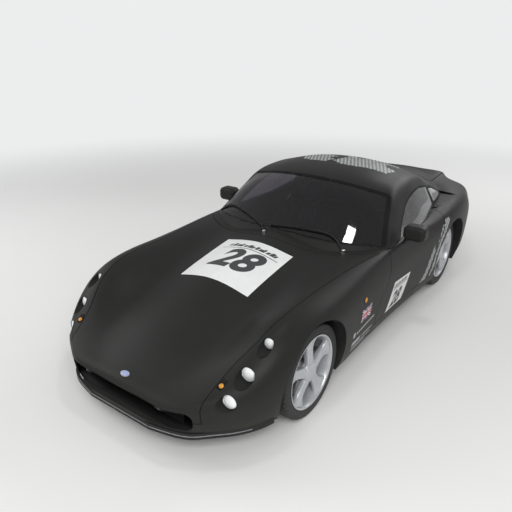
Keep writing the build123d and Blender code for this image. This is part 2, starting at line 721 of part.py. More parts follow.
def tail_lamps():
    return [(lamp & outer) for lamp in tail_lamp_blocks()]


# ---------------------------------------------------------------- glass
def windscreen():
    frame_face = windscreen_block(-SEAT_GAP)
    return (glass_sheet & frame_face) & block((-HALF_WIDTH, at(CABIN_FRONT), 600),
                                              (HALF_WIDTH, at(ROOF_FRONT), HEIGHT + 20))


def rear_glass():
    back = plan_prism(rear_window_runs(), 700, HEIGHT + 50, -SEAT_GAP)
    quarter = side_prism(quarter_window_runs(), 300, HALF_WIDTH, -SEAT_GAP)
    return [glass_sheet & tool for tool in [back] + both_sides(quarter)]


# ---------------------------------------------------------------- doors, bonnet and boot lid
DOOR_HINGE_Y = at(1.362) - SHUT_GAP / 2
DOOR_HINGE_X = HALF_WIDTH - in_flank(at(1.362)) + 5
MIRROR_SIZE = (170.0, 95.0, 115.0)
MIRROR_X = HALF_WIDTH - 8
MIRROR_Y = at(1.563)
MIRROR_Z = 828.0


def door():
    shape = (outer & door_block) - cabin
    pillar_zone = block((0, at(CABIN_FRONT), 500), (HALF_WIDTH, at(1.557) + SHUT_GAP, HEIGHT))
    strut_zone = block((0, at(1.921) - SHUT_GAP, 500), (HALF_WIDTH, at(2.2), HEIGHT))
    shape = cut(shape, [canopy_clear & pillar_zone, canopy_clear & strut_zone])
    slot_out = lofted(lambda y: inset(canopy_section(y), GLASS_SET_IN - 1), CANOPY_STATIONS)
    slot_in = lofted(lambda y: inset(canopy_section(y), GLASS_SET_IN + GLASS + 1, 60),
                     CANOPY_STATIONS)
    slot = side_prism(side_window_runs(690), 310, HALF_WIDTH + 50)
    shape = shape - ((slot_out - slot_in) & slot)
    return shape.solids().sort_by(SortBy.VOLUME)[-1]


def door_glass():
    return glass_sheet & window_block


def door_mirror():
    wide, deep, high = MIRROR_SIZE
    head = Pos(MIRROR_X, MIRROR_Y, MIRROR_Z) * Box(wide, deep, high)
    head = fillet(head.edges().filter_by(Axis.Y), 40)
    head = fillet(head.edges().group_by(Axis.Y)[0], 30)
    foot_x = HALF_WIDTH - in_flank(MIRROR_Y) - 42
    stalk = rod((foot_x, MIRROR_Y, 740), (MIRROR_X - 25, MIRROR_Y, MIRROR_Z), 15)
    return (head + stalk) - door()


BONNET_HINGE_Y = at(0.062)
BONNET_HINGE_Z = 297.0
BONNET_HINGE_X = 290.0          # middle of each hinge lug
HINGE_LUG = 16.0                # thickness of a lug
HINGE_EYE = 14.0                # radius round a hinge pin
HINGE_PIN = 6.0


def hinge_strap(x_low, x_high, ends):
    """A flat strap seen from the side, with an eye round its first end."""
    (y0, z0), (y1, z1) = ends
    along = direction(ends[0], ends[1])
    side_y, side_z = -along[1] * HINGE_EYE, along[0] * HINGE_EYE
    corners = [(y0 + side_y, z0 + side_z), (y1 + side_y, z1 + side_z),
               (y1 - side_y, z1 - side_z), (y0 - side_y, z0 - side_z)]
    runs = [[corners[i], corners[(i + 1) % 4]] for i in range(4)]
    return side_prism(runs, x_low, x_high) + x_cylinder(HINGE_EYE, x_low, x_high, y0, z0)


def bonnet_hinge():
    """Fixed half of the left bonnet hinge: a strap from the chassis rail, with the pin."""
    pin_end = BONNET_HINGE_X - HINGE_LUG / 2 - 4
    strap_low = BONNET_HINGE_X + HINGE_LUG / 2 + SHUT_GAP
    strap = hinge_strap(strap_low, strap_low + HINGE_LUG,
                        [(BONNET_HINGE_Y, BONNET_HINGE_Z), (at(FRONT_RAIL_END) - 12, 205)])
    foot = block((strap_low, at(FRONT_RAIL_END) - 20, FLOOR_TOP),
                 (RAIL_X, at(FRONT_RAIL_END), FLOOR_TOP + RAIL_SIZE))
    pin = x_cylinder(HINGE_PIN, pin_end, strap_low + 1, BONNET_HINGE_Y, BONNET_HINGE_Z)
    return strap + foot + pin


def bonnet():
    shell = (skin & bonnet_block) - mouth_block()
    top_y = BONNET_HINGE_Y + 70
    top_z = centre_height(top_y) - 20
    lug = hinge_strap(BONNET_HINGE_X - HINGE_LUG / 2, BONNET_HINGE_X + HINGE_LUG / 2,
                      [(BONNET_HINGE_Y, BONNET_HINGE_Z), (top_y, top_z)])
    bore = x_cylinder(HINGE_PIN + RUNNING_GAP, 0, HALF_WIDTH, BONNET_HINGE_Y, BONNET_HINGE_Z)
    for piece in both_sides((lug & outer) - bore):
        shell = shell + piece
    return shell


BOOT_LID_WALL = 24.0
BOOT_RIM = 14.0                 # width of the rim that the lid shuts on


def below_skin(depth):
    """The body's inside, depth below its outer surface."""
    return lofted(lambda y: inset(body_section(y), depth, 90), CAVITY_STATIONS)


def boot_lid():
    return ((outer + canopy) & boot_block) - below_skin(BOOT_LID_WALL)


def boot_rim():
    """The rebate round the boot opening, with the seat for the lid's edge."""
    wide = plan_prism(boot_runs(), 600, HEIGHT, BOOT_RIM)
    narrow = plan_prism(boot_runs(), 590, HEIGHT, -BOOT_RIM - 3)
    seat_level = below_skin(BOOT_LID_WALL + SEAT_GAP)
    rim = ((wide - narrow) & inner) - below_skin(BOOT_LID_WALL + 8)
    return rim - (boot_hole - seat_level)


# ---------------------------------------------------------------- chassis
FRONT_RAIL_END = 0.22
ENGINE_SIZE = (430.0, 650.0, 390.0)
ENGINE_GAP = 15.0               # to floor and firewall
RADIATOR_DEPTH = 50.0
RADIATOR_HEIGHT = 360.0
TOWER_REACH = 165.0
REAR_REACH = 120.0
TOWER_SIZE = 30.0
TOWER_HEIGHT = 470.0


def chassis_frame():
    low = FLOOR_TOP
    high = FLOOR_TOP + RAIL_SIZE
    rails = []
    for x in (-RAIL_X, RAIL_X):
        rails.append(block((x - RAIL_SIZE / 2, at(FRONT_RAIL_END), low),
                           (x + RAIL_SIZE / 2, at(CABIN_FRONT) - FIREWALL_THICKNESS, high)))
        for side in (-1, 1):
            y = FRONT_AXLE_Y + side * TOWER_REACH
            rails.append(block((x - RAIL_SIZE / 2, y - TOWER_SIZE / 2, low),
                               (x + RAIL_SIZE / 2, y + TOWER_SIZE / 2, TOWER_HEIGHT)))
    engine_back = at(CABIN_FRONT) - FIREWALL_THICKNESS - ENGINE_GAP
    for y in (engine_back - 80, engine_back - ENGINE_SIZE[1] + 80):
        rails.append(block((-RAIL_X, y - 30, low), (RAIL_X, y + 30, low + ENGINE_GAP)))
    for y in (at(FRONT_RAIL_END) + 120, FRONT_AXLE_Y - 230):
        rails.append(block((-RAIL_X, y - 20, low), (RAIL_X, y + 20, high)))
    rails += both_sides(bonnet_hinge())
    frame = rails[0]
    for rail in rails[1:]:
        frame = frame + rail
    return frame


def engine():
    wide, deep, high = ENGINE_SIZE
    back = at(CABIN_FRONT) - FIREWALL_THICKNESS - ENGINE_GAP
    low = FLOOR_TOP + ENGINE_GAP
    base = block((-wide / 2, back - deep, low), (wide / 2, back, low + high))
    return chamfer(base.edges().filter_by(Axis.Y), 40)


def radiator():
    y = at(FRONT_RAIL_END)
    wide = RAIL_X - RAIL_SIZE / 2
    return block((-wide, y, FLOOR_TOP), (wide, y + RADIATOR_DEPTH, RADIATOR_HEIGHT))


def firewall():
    y = at(CABIN_FRONT)
    plate = block((-HALF_WIDTH, y - FIREWALL_THICKNESS, FLOOR_TOP), (HALF_WIDTH, y, HEIGHT))
    return cut(plate & below_skin(SKIN + SEAT_GAP), wheel_rooms(LINER))


def rear_bulkhead():
    y = at(BULKHEAD)
    plate = block((-rear_arch_x + LINER, y, FLOOR_TOP),
                  (rear_arch_x - LINER, y + FIREWALL_THICKNESS, 700))
    return cut(plate & inner, wheel_rooms(LINER))


def transmission_tunnel():
    start = at(CABIN_FRONT)
    end = at(BULKHEAD)
    hump = block((-TUNNEL_WIDTH / 2, start, FLOOR_TOP),
                 (TUNNEL_WIDTH / 2, end, FLOOR_TOP + TUNNEL_HEIGHT))
    return fillet(hump.edges().filter_by(Axis.Y).group_by(Axis.Z)[-1], 50)


# ---------------------------------------------------------------- suspension and axles
def arm(x_in, reach, x_out, y, z, eye_radius, bore):
    """A wishbone: two tubes from the chassis to one eye."""
    eye = Pos(x_out, y, z) * Cylinder(eye_radius, 24)
    shape = eye
    for side in (-1, 1):
        shape = shape + rod((x_in, y + side * reach, z), (x_out, y, z), 11)
    if bore:
        shape = shape - Pos(x_out, y, z) * Cylinder(bore, 60)
    return shape


def suspension_arms():
    shapes = []
    mount_x = RAIL_X + RAIL_SIZE / 2
    trim = block((mount_x, NOSE_Y, 0), (HALF_WIDTH, TAIL_Y, HEIGHT))
    for side in (-1, 1):
        z = FRONT_TYRE_RADIUS + side * BALL_JOINT_SPAN / 2
        wishbone = arm(mount_x - 20, TOWER_REACH, KINGPIN_X, FRONT_AXLE_Y, z, 20,
                       KINGPIN_RADIUS + RUNNING_GAP)
        shapes += both_sides(wishbone & trim)
        z = REAR_TYRE_RADIUS + side * BALL_JOINT_SPAN / 2
        wishbone = arm(REAR_FRAME_X - 20, REAR_REACH, REAR_UPRIGHT_X, REAR_AXLE_Y, z, 18, 0)
        rear_trim = block((REAR_FRAME_X, 0, 0), (HALF_WIDTH, TAIL_Y, HEIGHT))
        shapes += both_sides((wishbone & rear_trim) - rear_upright())
    return shapes


REAR_FRAME_X = 300.0
REAR_FRAME_SIZE = 40.0
REAR_UPRIGHT_X = REAR_WHEEL_X - 40


def rear_upright():
    """The rear hub carrier with its brake caliper."""
    z = REAR_TYRE_RADIUS
    body = x_cylinder(48, REAR_UPRIGHT_X - 30, REAR_UPRIGHT_X + 30, REAR_AXLE_Y, z)
    post = Pos(REAR_UPRIGHT_X, REAR_AXLE_Y, z) * Box(40, 50, BALL_JOINT_SPAN + 30)
    shape = body + post + caliper(REAR_WHEEL_X, REAR_AXLE_Y, z, REAR_UPRIGHT_X)
    return shape - x_cylinder(STUB_RADIUS + RUNNING_GAP, 0, HALF_WIDTH, REAR_AXLE_Y, z)


def rear_axle():
    """Differential, its frame, and the hub carriers that the rear wheels turn on."""
    z = REAR_TYRE_RADIUS
    case = Pos(0, REAR_AXLE_Y, z) * Sphere(110)
    case = case + x_cylinder(45, -190, 190, REAR_AXLE_Y, z)
    low = FLOOR_TOP
    for side in (-1, 1):
        y = REAR_AXLE_Y + side * REAR_REACH
        case = case + block((-REAR_FRAME_X, y - REAR_FRAME_SIZE / 2, low),
                            (REAR_FRAME_X, y + REAR_FRAME_SIZE / 2, low + 50))
        for x in (-1, 1):
            outside = x * REAR_FRAME_X
            inside = x * (REAR_FRAME_X - REAR_FRAME_SIZE)
            case = case + block((min(outside, inside), y - REAR_FRAME_SIZE / 2, low),
                                (max(outside, inside), y + REAR_FRAME_SIZE / 2, z + 150))
        case = case + rod((0, y, low + 30), (0, REAR_AXLE_Y, z), 30)
    shafts = x_cylinder(22, 150, REAR_UPRIGHT_X - 30 - SEAT_GAP, REAR_AXLE_Y, z)
    case = case + shafts + shafts.mirror(Plane.YZ)
    return [case] + both_sides(rear_upright())


# ---------------------------------------------------------------- hubs, brakes and wheels
def caliper(wheel_x, y, z, upright_x):
    """A brake caliper straddling the disc behind the axle."""
    disc_x = wheel_x + DISC_FROM_WHEEL
    low = disc_x - DISC_THICKNESS / 2 - CALIPER_GAP - 18
    high = disc_x + DISC_THICKNESS / 2 + CALIPER_GAP + 13
    ring = x_cylinder(DISC_RADIUS + 17, low, high, y, z) - x_cylinder(98, low - 1, high + 1, y, z)
    wedge = block((low, y + 85, z - 70), (high, y + 200, z + 70))
    shape = ring & wedge
    slot = x_cylinder(DISC_RADIUS + CALIPER_GAP, disc_x - DISC_THICKNESS / 2 - CALIPER_GAP,
                      disc_x + DISC_THICKNESS / 2 + CALIPER_GAP, y, z)
    bracket_end = min(upright_x + 28, disc_x - DISC_THICKNESS / 2 - 5)
    bracket = block((upright_x - 15, y, z - 25), (bracket_end, y + 120, z + 25))
    return (shape - slot) + bracket


DISC_FROM_WHEEL = 20.0          # disc centre outboard of the wheel's centre plane
SPOKE_FROM_LIP = 10.0


def brake_disc(wheel_x, y, z, upright_x, width):
    disc_x = wheel_x + DISC_FROM_WHEEL
    spoke_back = wheel_x + width / 2 - 4 - SPOKE_FROM_LIP - SPOKE_THICKNESS
    low = disc_x - DISC_THICKNESS / 2
    high = disc_x + DISC_THICKNESS / 2
    ring = x_cylinder(DISC_RADIUS, low, high, y, z)
    bell = x_cylinder(DISC_BELL_RADIUS, low, spoke_back, y, z)
    stub = x_cylinder(STUB_RADIUS, upright_x - 30, low + 16, y, z)
    vent = x_cylinder(DISC_BELL_RADIUS - 12, low - 1, low + 14, y, z)
    boss = x_cylinder(STUB_RADIUS + 20, upright_x + 30 + SEAT_GAP, low + 16, y, z)
    return ring + bell - vent + boss + stub


def knuckle_front():
    """Steered hub carrier: kingpins above and below, steering arm ahead."""
    y, z = FRONT_AXLE_Y, FRONT_TYRE_RADIUS
    body = x_cylinder(48, KINGPIN_X - 30, KINGPIN_X + 26, y, z)
    inner_span = BALL_JOINT_SPAN - 24 - 2 * SEAT_GAP
    post = Pos(KINGPIN_X, y, z) * Box(34, 50, inner_span)
    pin = Pos(KINGPIN_X, y, z) * Cylinder(KINGPIN_RADIUS, BALL_JOINT_SPAN + 30)
    lever = block((KINGPIN_X - 12, y - STEERING_ARM - 14, z - 45),
                  (KINGPIN_X + 12, y, z - 30))
    shape = body + post + pin + lever
    shape = shape + caliper(FRONT_WHEEL_X, y, z, KINGPIN_X)
    return shape - x_cylinder(STUB_RADIUS + RUNNING_GAP, 0, HALF_WIDTH, y, z)


TYRE_PROFILE_WALL = 0.94        # tread width as a share of the tyre's widest


def tyre(wheel_x, y, z, radius, width):
    half = width / 2
    bead = half - 14
    seat = BEAD_RADIUS + SEAT_GAP
    mid = (radius + seat) / 2
    tread = half * TYRE_PROFILE_WALL
    points = [(-bead, seat), (bead, seat), (bead, RIM_LIP_RADIUS + 2), (half - 3, RIM_LIP_RADIUS + 6),
              (half, mid), (tread + 3, radius - 14), (tread - 8, radius - 3), (tread - 30, radius)]
    right = points[1:]
    left = [(-x, r) for x, r in right]
    ring = [points[0]] + right + left[::-1][:-1]
    wire = Wire.make_polygon([Vector(x, r, 0) for x, r in ring], close=True)
    solid = Solid.revolve(Face(wire), 360, Axis.X)
    return Pos(wheel_x, y, z) * solid


def wheel_rim(wheel_x, y, z, width):
    half = width / 2 - 4
    bead = width / 2 - 14 + SEAT_GAP
    wall = 7.0
    outline = [(-half, RIM_LIP_RADIUS), (-bead, RIM_LIP_RADIUS), (-bead, BEAD_RADIUS),
               (-bead + 25, BEAD_RADIUS - 2), (-bead + 45, RIM_WELL_RADIUS + wall),
               (bead - 55, RIM_WELL_RADIUS + wall), (bead - 30, BEAD_RADIUS - 2),
               (bead, BEAD_RADIUS), (bead, RIM_LIP_RADIUS), (half, RIM_LIP_RADIUS),
               (half, BEAD_RADIUS - wall), (bead - 25, BEAD_RADIUS - wall - 2),
               (bead - 52, RIM_WELL_RADIUS), (-bead + 42, RIM_WELL_RADIUS),
               (-bead + 22, BEAD_RADIUS - wall - 2), (-half, BEAD_RADIUS - wall)]
    wire = Wire.make_polygon([Vector(x, r, 0) for x, r in outline], close=True)
    barrel = Solid.revolve(Face(wire), 360, Axis.X)
    back = half - SPOKE_FROM_LIP - SPOKE_THICKNESS
    front = half - SPOKE_FROM_LIP
    hub = x_cylinder(HUB_RADIUS, back, front - 8, 0, 0)
    cap = x_cylinder(HUB_CAP_RADIUS, front - 10, front + 6, 0, 0)
    shape = barrel + hub + fillet(cap.edges().group_by(Axis.X)[-1], 8)
    for index in range(SPOKE_COUNT):
        shape = shape + Rot(index * 360 / SPOKE_COUNT, 0, 0) * spoke(back, front)
    return Pos(wheel_x, y, z) * shape


def spoke(back, front):
    """One broad spoke along +Z, wider at the rim than at the hub."""
    runs = [[(-34, 30), (-46, BEAD_RADIUS - 8)], [(-46, BEAD_RADIUS - 8), (46, BEAD_RADIUS - 8)],
            [(46, BEAD_RADIUS - 8), (34, 30)], [(34, 30), (-34, 30)]]
    return side_prism(runs, back, front)


# ---------------------------------------------------------------- steering
COLUMN = Vector(0, cos(radians(COLUMN_RAKE)), sin(radians(COLUMN_RAKE)))
WHEEL_CENTRE = Vector(DRIVER_X, at(1.575), 690)
DASH_REAR = at(1.475)
DASH_FRONT = at(1.335)
DASH_LOW = 545.0
DASH_HIGH = 730.0
RACK_Y = FRONT_AXLE_Y - STEERING_ARM
RACK_Z = FRONT_TYRE_RADIUS - 30 + SHUT_GAP + 10
RACK_RADIUS = 11.0


def column_plane(distance):
    """Plane square to the column, at a distance from the wheel's centre towards the driver."""
    return Plane(origin=WHEEL_CENTRE + COLUMN * distance, x_dir=(1, 0, 0), z_dir=COLUMN)


def column_length():
    return (WHEEL_CENTRE.Y - DASH_REAR) / COLUMN.Y + 30


def steering_wheel():
    rim = Solid.make_torus(STEERING_WHEEL_RADIUS, STEERING_WHEEL_GRIP, column_plane(0))
    shape = rim + Solid.make_cylinder(38, 34, column_plane(-34))
    for angle in (0, 180, 270):
        bar = Pos(STEERING_WHEEL_RADIUS / 2 + 10, 0, 0) * Box(STEERING_WHEEL_RADIUS - 20, 24, 8)
        bar = Rot(0, 0, angle) * bar
        shape = shape + column_plane(-8).from_local_coords(bar)
    shaft = Solid.make_cylinder(COLUMN_RADIUS, column_length() - 20, column_plane(-column_length()))
    return shape + shaft


def dashboard():
    y = at(CABIN_FRONT)
    base = block((-HALF_WIDTH + 260, DASH_FRONT, DASH_LOW), (HALF_WIDTH - 260, DASH_REAR, DASH_HIGH))
    base = fillet(base.edges().filter_by(Axis.X).group_by(Axis.Y)[-1], 45)
    wide = block((-HALF_WIDTH, y, DASH_LOW), (HALF_WIDTH, DASH_REAR - 40, DASH_HIGH - 20))
    shape = base + (wide & cabin & inner)
    bore = Solid.make_cylinder(COLUMN_RADIUS + RUNNING_GAP, column_length(),
                               column_plane(-column_length() - 12))
    shape = cut(shape, [bore, canopy - canopy_room])
    return shape.solids().sort_by(SortBy.VOLUME)[-1]


def steering_rack():
    """The rack bar with both track rods, held above the levers of the knuckles."""
    end = KINGPIN_X
    bar = x_cylinder(RACK_RADIUS, -end, end, RACK_Y, RACK_Z)
    for side in (-1, 1):
        bar = bar + Pos(side * end, RACK_Y, RACK_Z) * Cylinder(15, 20)
    return bar


def rack_housing():
    tube = x_cylinder(RACK_RADIUS + 9, -230, 230, RACK_Y, RACK_Z)
    feet = []
    for side in (-1, 1):
        foot = block((side * 190 - 20, RACK_Y - 18, FLOOR_TOP), (side * 190 + 20, RACK_Y + 18, RACK_Z))
        tube = tube + foot
    return tube - x_cylinder(RACK_RADIUS + RUNNING_GAP, -600, 600, RACK_Y, RACK_Z)


# ---------------------------------------------------------------- seats and small pieces
def seat(x):
    width = SEAT_WIDTH
    front = at(1.60)
    back = at(1.80)
    low = FLOOR_TOP
    profile = [[(front, low), (front - 10, low + 130), (front + 60, low + 165)],
               [(front + 60, low + 165), (back - 90, low + 120)],
               [(back - 90, low + 120), (back + 60, low + 560), (back + 100, low + 690)],
               [(back + 100, low + 690), (back + 165, low + 675)],
               [(back + 165, low + 675), (back + 120, low + 480), (back + 40, low)],
               [(back + 40, low), (front, low)]]
    core = side_prism(profile, x - width / 2 + 50, x + width / 2 - 50)
    wing = [[(front + 10, low), (front + 10, low + 190), (back - 150, low + 230)],
            [(back - 150, low + 230), (back + 10, low + 520)],
            [(back + 10, low + 520), (back + 130, low + 520)],
            [(back + 130, low + 520), (back + 40, low)], [(back + 40, low), (front + 10, low)]]
    sides = side_prism(wing, x - width / 2, x - width / 2 + 50)
    sides = sides + side_prism(wing, x + width / 2 - 50, x + width / 2)
    return core + sides


# each wiper: places (x, station) of its pivot, its elbow and the blade's far end
WIPERS = [[(555, 1.357), (410, 1.381), (-80, 1.366)], [(-80, 1.317), (-190, 1.355), (-660, 1.424)]]
WIPER_HEIGHT = 20.0             # arms above the glass
BLADE_STEPS = 4
WIPER_ARM = 9.0


def above_skin(x, y):
    """The point above (x, y) at the wipers' height over body and cabin top."""
    heights = []
    for half, crest in ((canopy_section(y), 1.0), (body_section(y), 0.72)):
        outline = section_wire(half, y).edges().sort_by(Edge.length)[-1]
        low, high = 0.5, crest
        for _ in range(14):
            middle = (low + high) / 2
            if abs((outline @ middle).X) < abs(x):
                low = middle
            else:
                high = middle
        heights.append((outline @ low).Z)
    return (x, y, max(heights) + WIPER_HEIGHT)


def wipers():
    """Two parked wipers on the scuttle."""
    shapes = []
    for pivot, elbow, tip in WIPERS:
        x, y = pivot[0], at(pivot[1])
        top = above_skin(x, y)
        route = [top]
        for i in range(BLADE_STEPS + 1):
            share = i / BLADE_STEPS
            station = elbow[1] + (tip[1] - elbow[1]) * share
            route.append(above_skin(elbow[0] + (tip[0] - elbow[0]) * share, at(station)))
        points = [Vector(*p) for p in route]
        start = Plane(origin=points[0], z_dir=points[1] - points[0])
        arm = sweep(start * Rectangle(WIPER_ARM, WIPER_ARM), path=Wire.make_polygon(points, close=False),
                    transition=Transition.RIGHT)
        post = cut(Pos(x, y, top[2] - 30) * Cylinder(12, 80), [canopy, outer])
        shapes.append(post.solids().sort_by(SortBy.VOLUME)[-1] + arm)
    return shapes


PIPE_RADIUS = 38.0
PIPE_LENGTH = 330.0


def exhaust():
    """Two tail pipes on a hanger below the tail."""
    end = TAIL_Y - 20
    z = UNDERSIDE + 70
    shape = block((-90, end - 250, z), (90, end - 225, z + 120))
    for x in (-65, 65):
        pipe = Pos(x, end - PIPE_LENGTH / 2, z) * Rot(90, 0, 0) * Cylinder(PIPE_RADIUS, PIPE_LENGTH)
        shape = shape + pipe
    for x in (-65, 65):
        bore = Pos(x, end - PIPE_LENGTH / 2 + 20, z) * Rot(90, 0, 0)
        shape = shape - bore * Cylinder(PIPE_RADIUS - 4, PIPE_LENGTH)
    return cut(shape, [floor_pan()])


def headlamps():
    shapes = []
    for place in lamp_places():
        lens = lamp_cylinder(place, place[3] - 1, 0, LAMP_DEPTH - 2)
        shapes += both_sides(lens)
    return shapes


def indicators():
    shapes = []
    for tool in (indicator_block(), repeater_block()):
        shapes += both_sides((tool & outer) - inner)
    return shapes


# ---------------------------------------------------------------- writing the nodes
def wheel_sets():
    front = (FRONT_WHEEL_X, FRONT_AXLE_Y, FRONT_TYRE_RADIUS)
    rear = (REAR_WHEEL_X, REAR_AXLE_Y, REAR_TYRE_RADIUS)
    return [("front", front, FRONT_TYRE_WIDTH, KINGPIN_X), ("rear", rear, REAR_TYRE_WIDTH, REAR_UPRIGHT_X)]


def save_pair(name, shape):
    save(f"{name}_left", shape)
    save(f"{name}_right", shape.mirror(Plane.YZ))


def main():
    door_solid = door()
    frames = door_frames()
    save("front_body", front_body())
    save("rear_body", rear_body())
    save("windscreen_frame", windscreen_frame())
    save("roof", roof())
    save("door_frames", group(frames))
    save("floor_pan", floor_pan())
    save("front_splitter", splitter())
    save("arch_liners", group(arch_liners()))
    save("windscreen", windscreen())
    save("rear_glass", group(rear_glass()))
    save("tail_lamps", group(tail_lamps()))
    save("headlamps", group(headlamps()))
    save("indicators", group(indicators()))
    save("bonnet", bonnet())
    save("boot_lid", boot_lid())
    save_pair("door", door_solid)
    save_pair("door_glass", door_glass())
    save_pair("door_mirror", door_mirror())
    save("chassis_frame", group([chassis_frame(), rack_housing()]))
    save("engine", engine())
    save("radiator", radiator())
    save("firewall", firewall())
    save("rear_bulkhead", rear_bulkhead())
    save("transmission_tunnel", transmission_tunnel())
    save("suspension_arms", group(suspension_arms()))
    save("rear_axle", group(rear_axle()))
    save_pair("knuckle", knuckle_front())
    save("dashboard", dashboard())
    save("steering_wheel", steering_wheel())
    save("steering_rack", steering_rack())
    save("seats", group([seat(DRIVER_X), seat(-DRIVER_X)]))
    save("wipers", group(wipers()))
    save("exhaust", group(exhaust()))
    for name, (x, y, z), width, upright_x in wheel_sets():
        radius = z
        save_pair(f"tyre_{name}", tyre(x, y, z, radius, width))
        save_pair(f"wheel_{name}", wheel_rim(x, y, z, width))
        save_pair(f"brake_disc_{name}", brake_disc(x, y, z, upright_x, width))


if __name__ == "__main__":
    main()
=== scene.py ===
# %% [markdown]
# # A race car
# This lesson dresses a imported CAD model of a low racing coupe. The CAD holds the shape of every
# panel and joint. Blender adds what the eye looks for: paint, glass, rubber seals, lamps, wheels
# with real spokes, number panels and soft seats. Every new piece rides on one of the CAD's bodies,
# so that it follows when a wheel steers or a door swings.

# %% Load the frame
from math import cos, pi, radians, sin

import bmesh
import bpy
from mathutils import Matrix, Vector
from mathutils.bvhtree import BVHTree


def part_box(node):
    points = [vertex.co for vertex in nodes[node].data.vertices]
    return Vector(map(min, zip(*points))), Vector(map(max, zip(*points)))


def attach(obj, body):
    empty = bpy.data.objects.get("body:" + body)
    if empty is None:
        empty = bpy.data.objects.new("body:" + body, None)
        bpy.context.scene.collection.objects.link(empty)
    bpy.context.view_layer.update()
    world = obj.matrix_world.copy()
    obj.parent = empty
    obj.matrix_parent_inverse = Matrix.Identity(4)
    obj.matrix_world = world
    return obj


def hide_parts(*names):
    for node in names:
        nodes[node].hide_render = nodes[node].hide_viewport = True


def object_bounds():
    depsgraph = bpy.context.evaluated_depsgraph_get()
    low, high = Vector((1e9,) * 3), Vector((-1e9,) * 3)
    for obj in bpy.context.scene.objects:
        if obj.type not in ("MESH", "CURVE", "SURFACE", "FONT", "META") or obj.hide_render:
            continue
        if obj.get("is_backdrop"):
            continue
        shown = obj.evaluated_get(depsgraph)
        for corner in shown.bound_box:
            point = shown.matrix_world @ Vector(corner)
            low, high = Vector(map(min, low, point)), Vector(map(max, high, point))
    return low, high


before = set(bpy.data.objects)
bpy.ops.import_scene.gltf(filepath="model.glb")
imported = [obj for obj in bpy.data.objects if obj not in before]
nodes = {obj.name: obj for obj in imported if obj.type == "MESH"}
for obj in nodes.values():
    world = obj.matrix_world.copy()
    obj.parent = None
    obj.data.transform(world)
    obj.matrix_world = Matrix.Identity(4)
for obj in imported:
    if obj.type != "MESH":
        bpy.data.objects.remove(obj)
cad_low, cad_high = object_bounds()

# %% [markdown]
# ## Places that the CAD gives
# Wheels, lamps, panes and pads take their place from the box or the mesh of the CAD part they
# belong to. Stickers, struts and wipers keep listed places and are laid onto the panels.


# %% Places
def centre_of(node):
    low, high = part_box(node)
    return (low + high) / 2


def size_of(node):
    low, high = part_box(node)
    return high - low


SIDES = {"left": 1, "right": -1}
WHEELS = [(end, side) for end in ("front", "rear") for side in SIDES]
print("wheel centres:", {f"{e}_{s}": tuple(round(v, 3) for v in centre_of(f"tyre_{e}_{s}"))
                         for e, s in WHEELS})

# %% [markdown]
# ## Camera, light and floor
# The car is seen from ahead and to its left, from above head height. The studio is a pale floor,
# a pale surround, three big soft lamps that draw long gentle highlights on dark paint, and one
# small strip overhead that gives the windscreen a bright streak.

# %% Camera
CAMERA_PLACE = (2.169, -3.685, 2.219)
CAMERA_AZIMUTH = 36.466
CAMERA_ELEVATION = 22.776
CAMERA_LENS = 37.606

camera = bpy.data.objects.new("camera", bpy.data.cameras.new("camera"))
bpy.context.scene.collection.objects.link(camera)
camera.location = CAMERA_PLACE
camera.rotation_euler = (radians(90 - CAMERA_ELEVATION), 0, radians(CAMERA_AZIMUTH))
camera.data.lens = CAMERA_LENS
camera.data.sensor_width = 36
bpy.context.scene.camera = camera
bpy.context.scene.view_settings.view_transform = "Standard"


# %% Lamps
def soft_lamp(name, place, target, size, power):
    lamp = bpy.data.lights.new(name, "AREA")
    lamp.shape = "RECTANGLE"
    lamp.size, lamp.size_y = size
    lamp.energy = power
    holder = bpy.data.objects.new(name, lamp)
    bpy.context.scene.collection.objects.link(holder)
    holder.location = place
    aim = Vector(target) - Vector(place)
    holder.rotation_euler = aim.to_track_quat("-Z", "Y").to_euler()
    return holder


soft_lamp("key_lamp", (3.5, -5.0, 4.5), (0, -0.5, 0.4), (4.0, 2.5), 255)
soft_lamp("fill_lamp", (-5.0, -2.5, 3.5), (0, 0, 0.5), (4.0, 3.0), 105)
soft_lamp("back_lamp", (1.5, 6.0, 4.0), (0, 0.5, 0.6), (5.0, 2.0), 140)
soft_lamp("strip_lamp", (0.70, -1.0, 4.75), (0.53, -0.30, 0.85), (0.50, 0.30), 17)

# %% [markdown]
# ## Building materials from nodes
# All colour is procedural. Effects that several finishes share are node groups with named inputs:
# a mottle between two tones, a film of road dust low down on the body, a fine texture for
# bumps, and a weave for cloth. The shader itself always stays in the material.


# %% Helpers for node trees
def shared_group(name, inputs, outputs):
    """An empty node group with its sockets; returns (group, input node, output node)."""
    group = bpy.data.node_groups.new(name, "ShaderNodeTree")
    for label, kind, value in inputs:
        socket = group.interface.new_socket(label, in_out="INPUT", socket_type=kind)
        socket.default_value = value
    for label, kind in outputs:
        group.interface.new_socket(label, in_out="OUTPUT", socket_type=kind)
    entry = group.nodes.new("NodeGroupInput")
    leave = group.nodes.new("NodeGroupOutput")
    return group, entry, leave


def math_node(tree, operation, first, second=None, third=None, clamp=False):
    node = tree.nodes.new("ShaderNodeMath")
    node.operation = operation
    node.use_clamp = clamp
    for index, value in enumerate((first, second, third)):
        if value is None:
            continue
        if isinstance(value, (int, float)):
            node.inputs[index].default_value = value
        else:
            tree.links.new(value, node.inputs[index])
    return node.outputs[0]


def mix_colour(tree, factor, first, second):
    node = tree.nodes.new("ShaderNodeMix")
    node.data_type = "RGBA"
    for socket, value in ((node.inputs[0], factor), (node.inputs[6], first), (node.inputs[7], second)):
        if isinstance(value, (tuple, float, int)):
            socket.default_value = value
        else:
            tree.links.new(value, socket)
    return node.outputs[2]


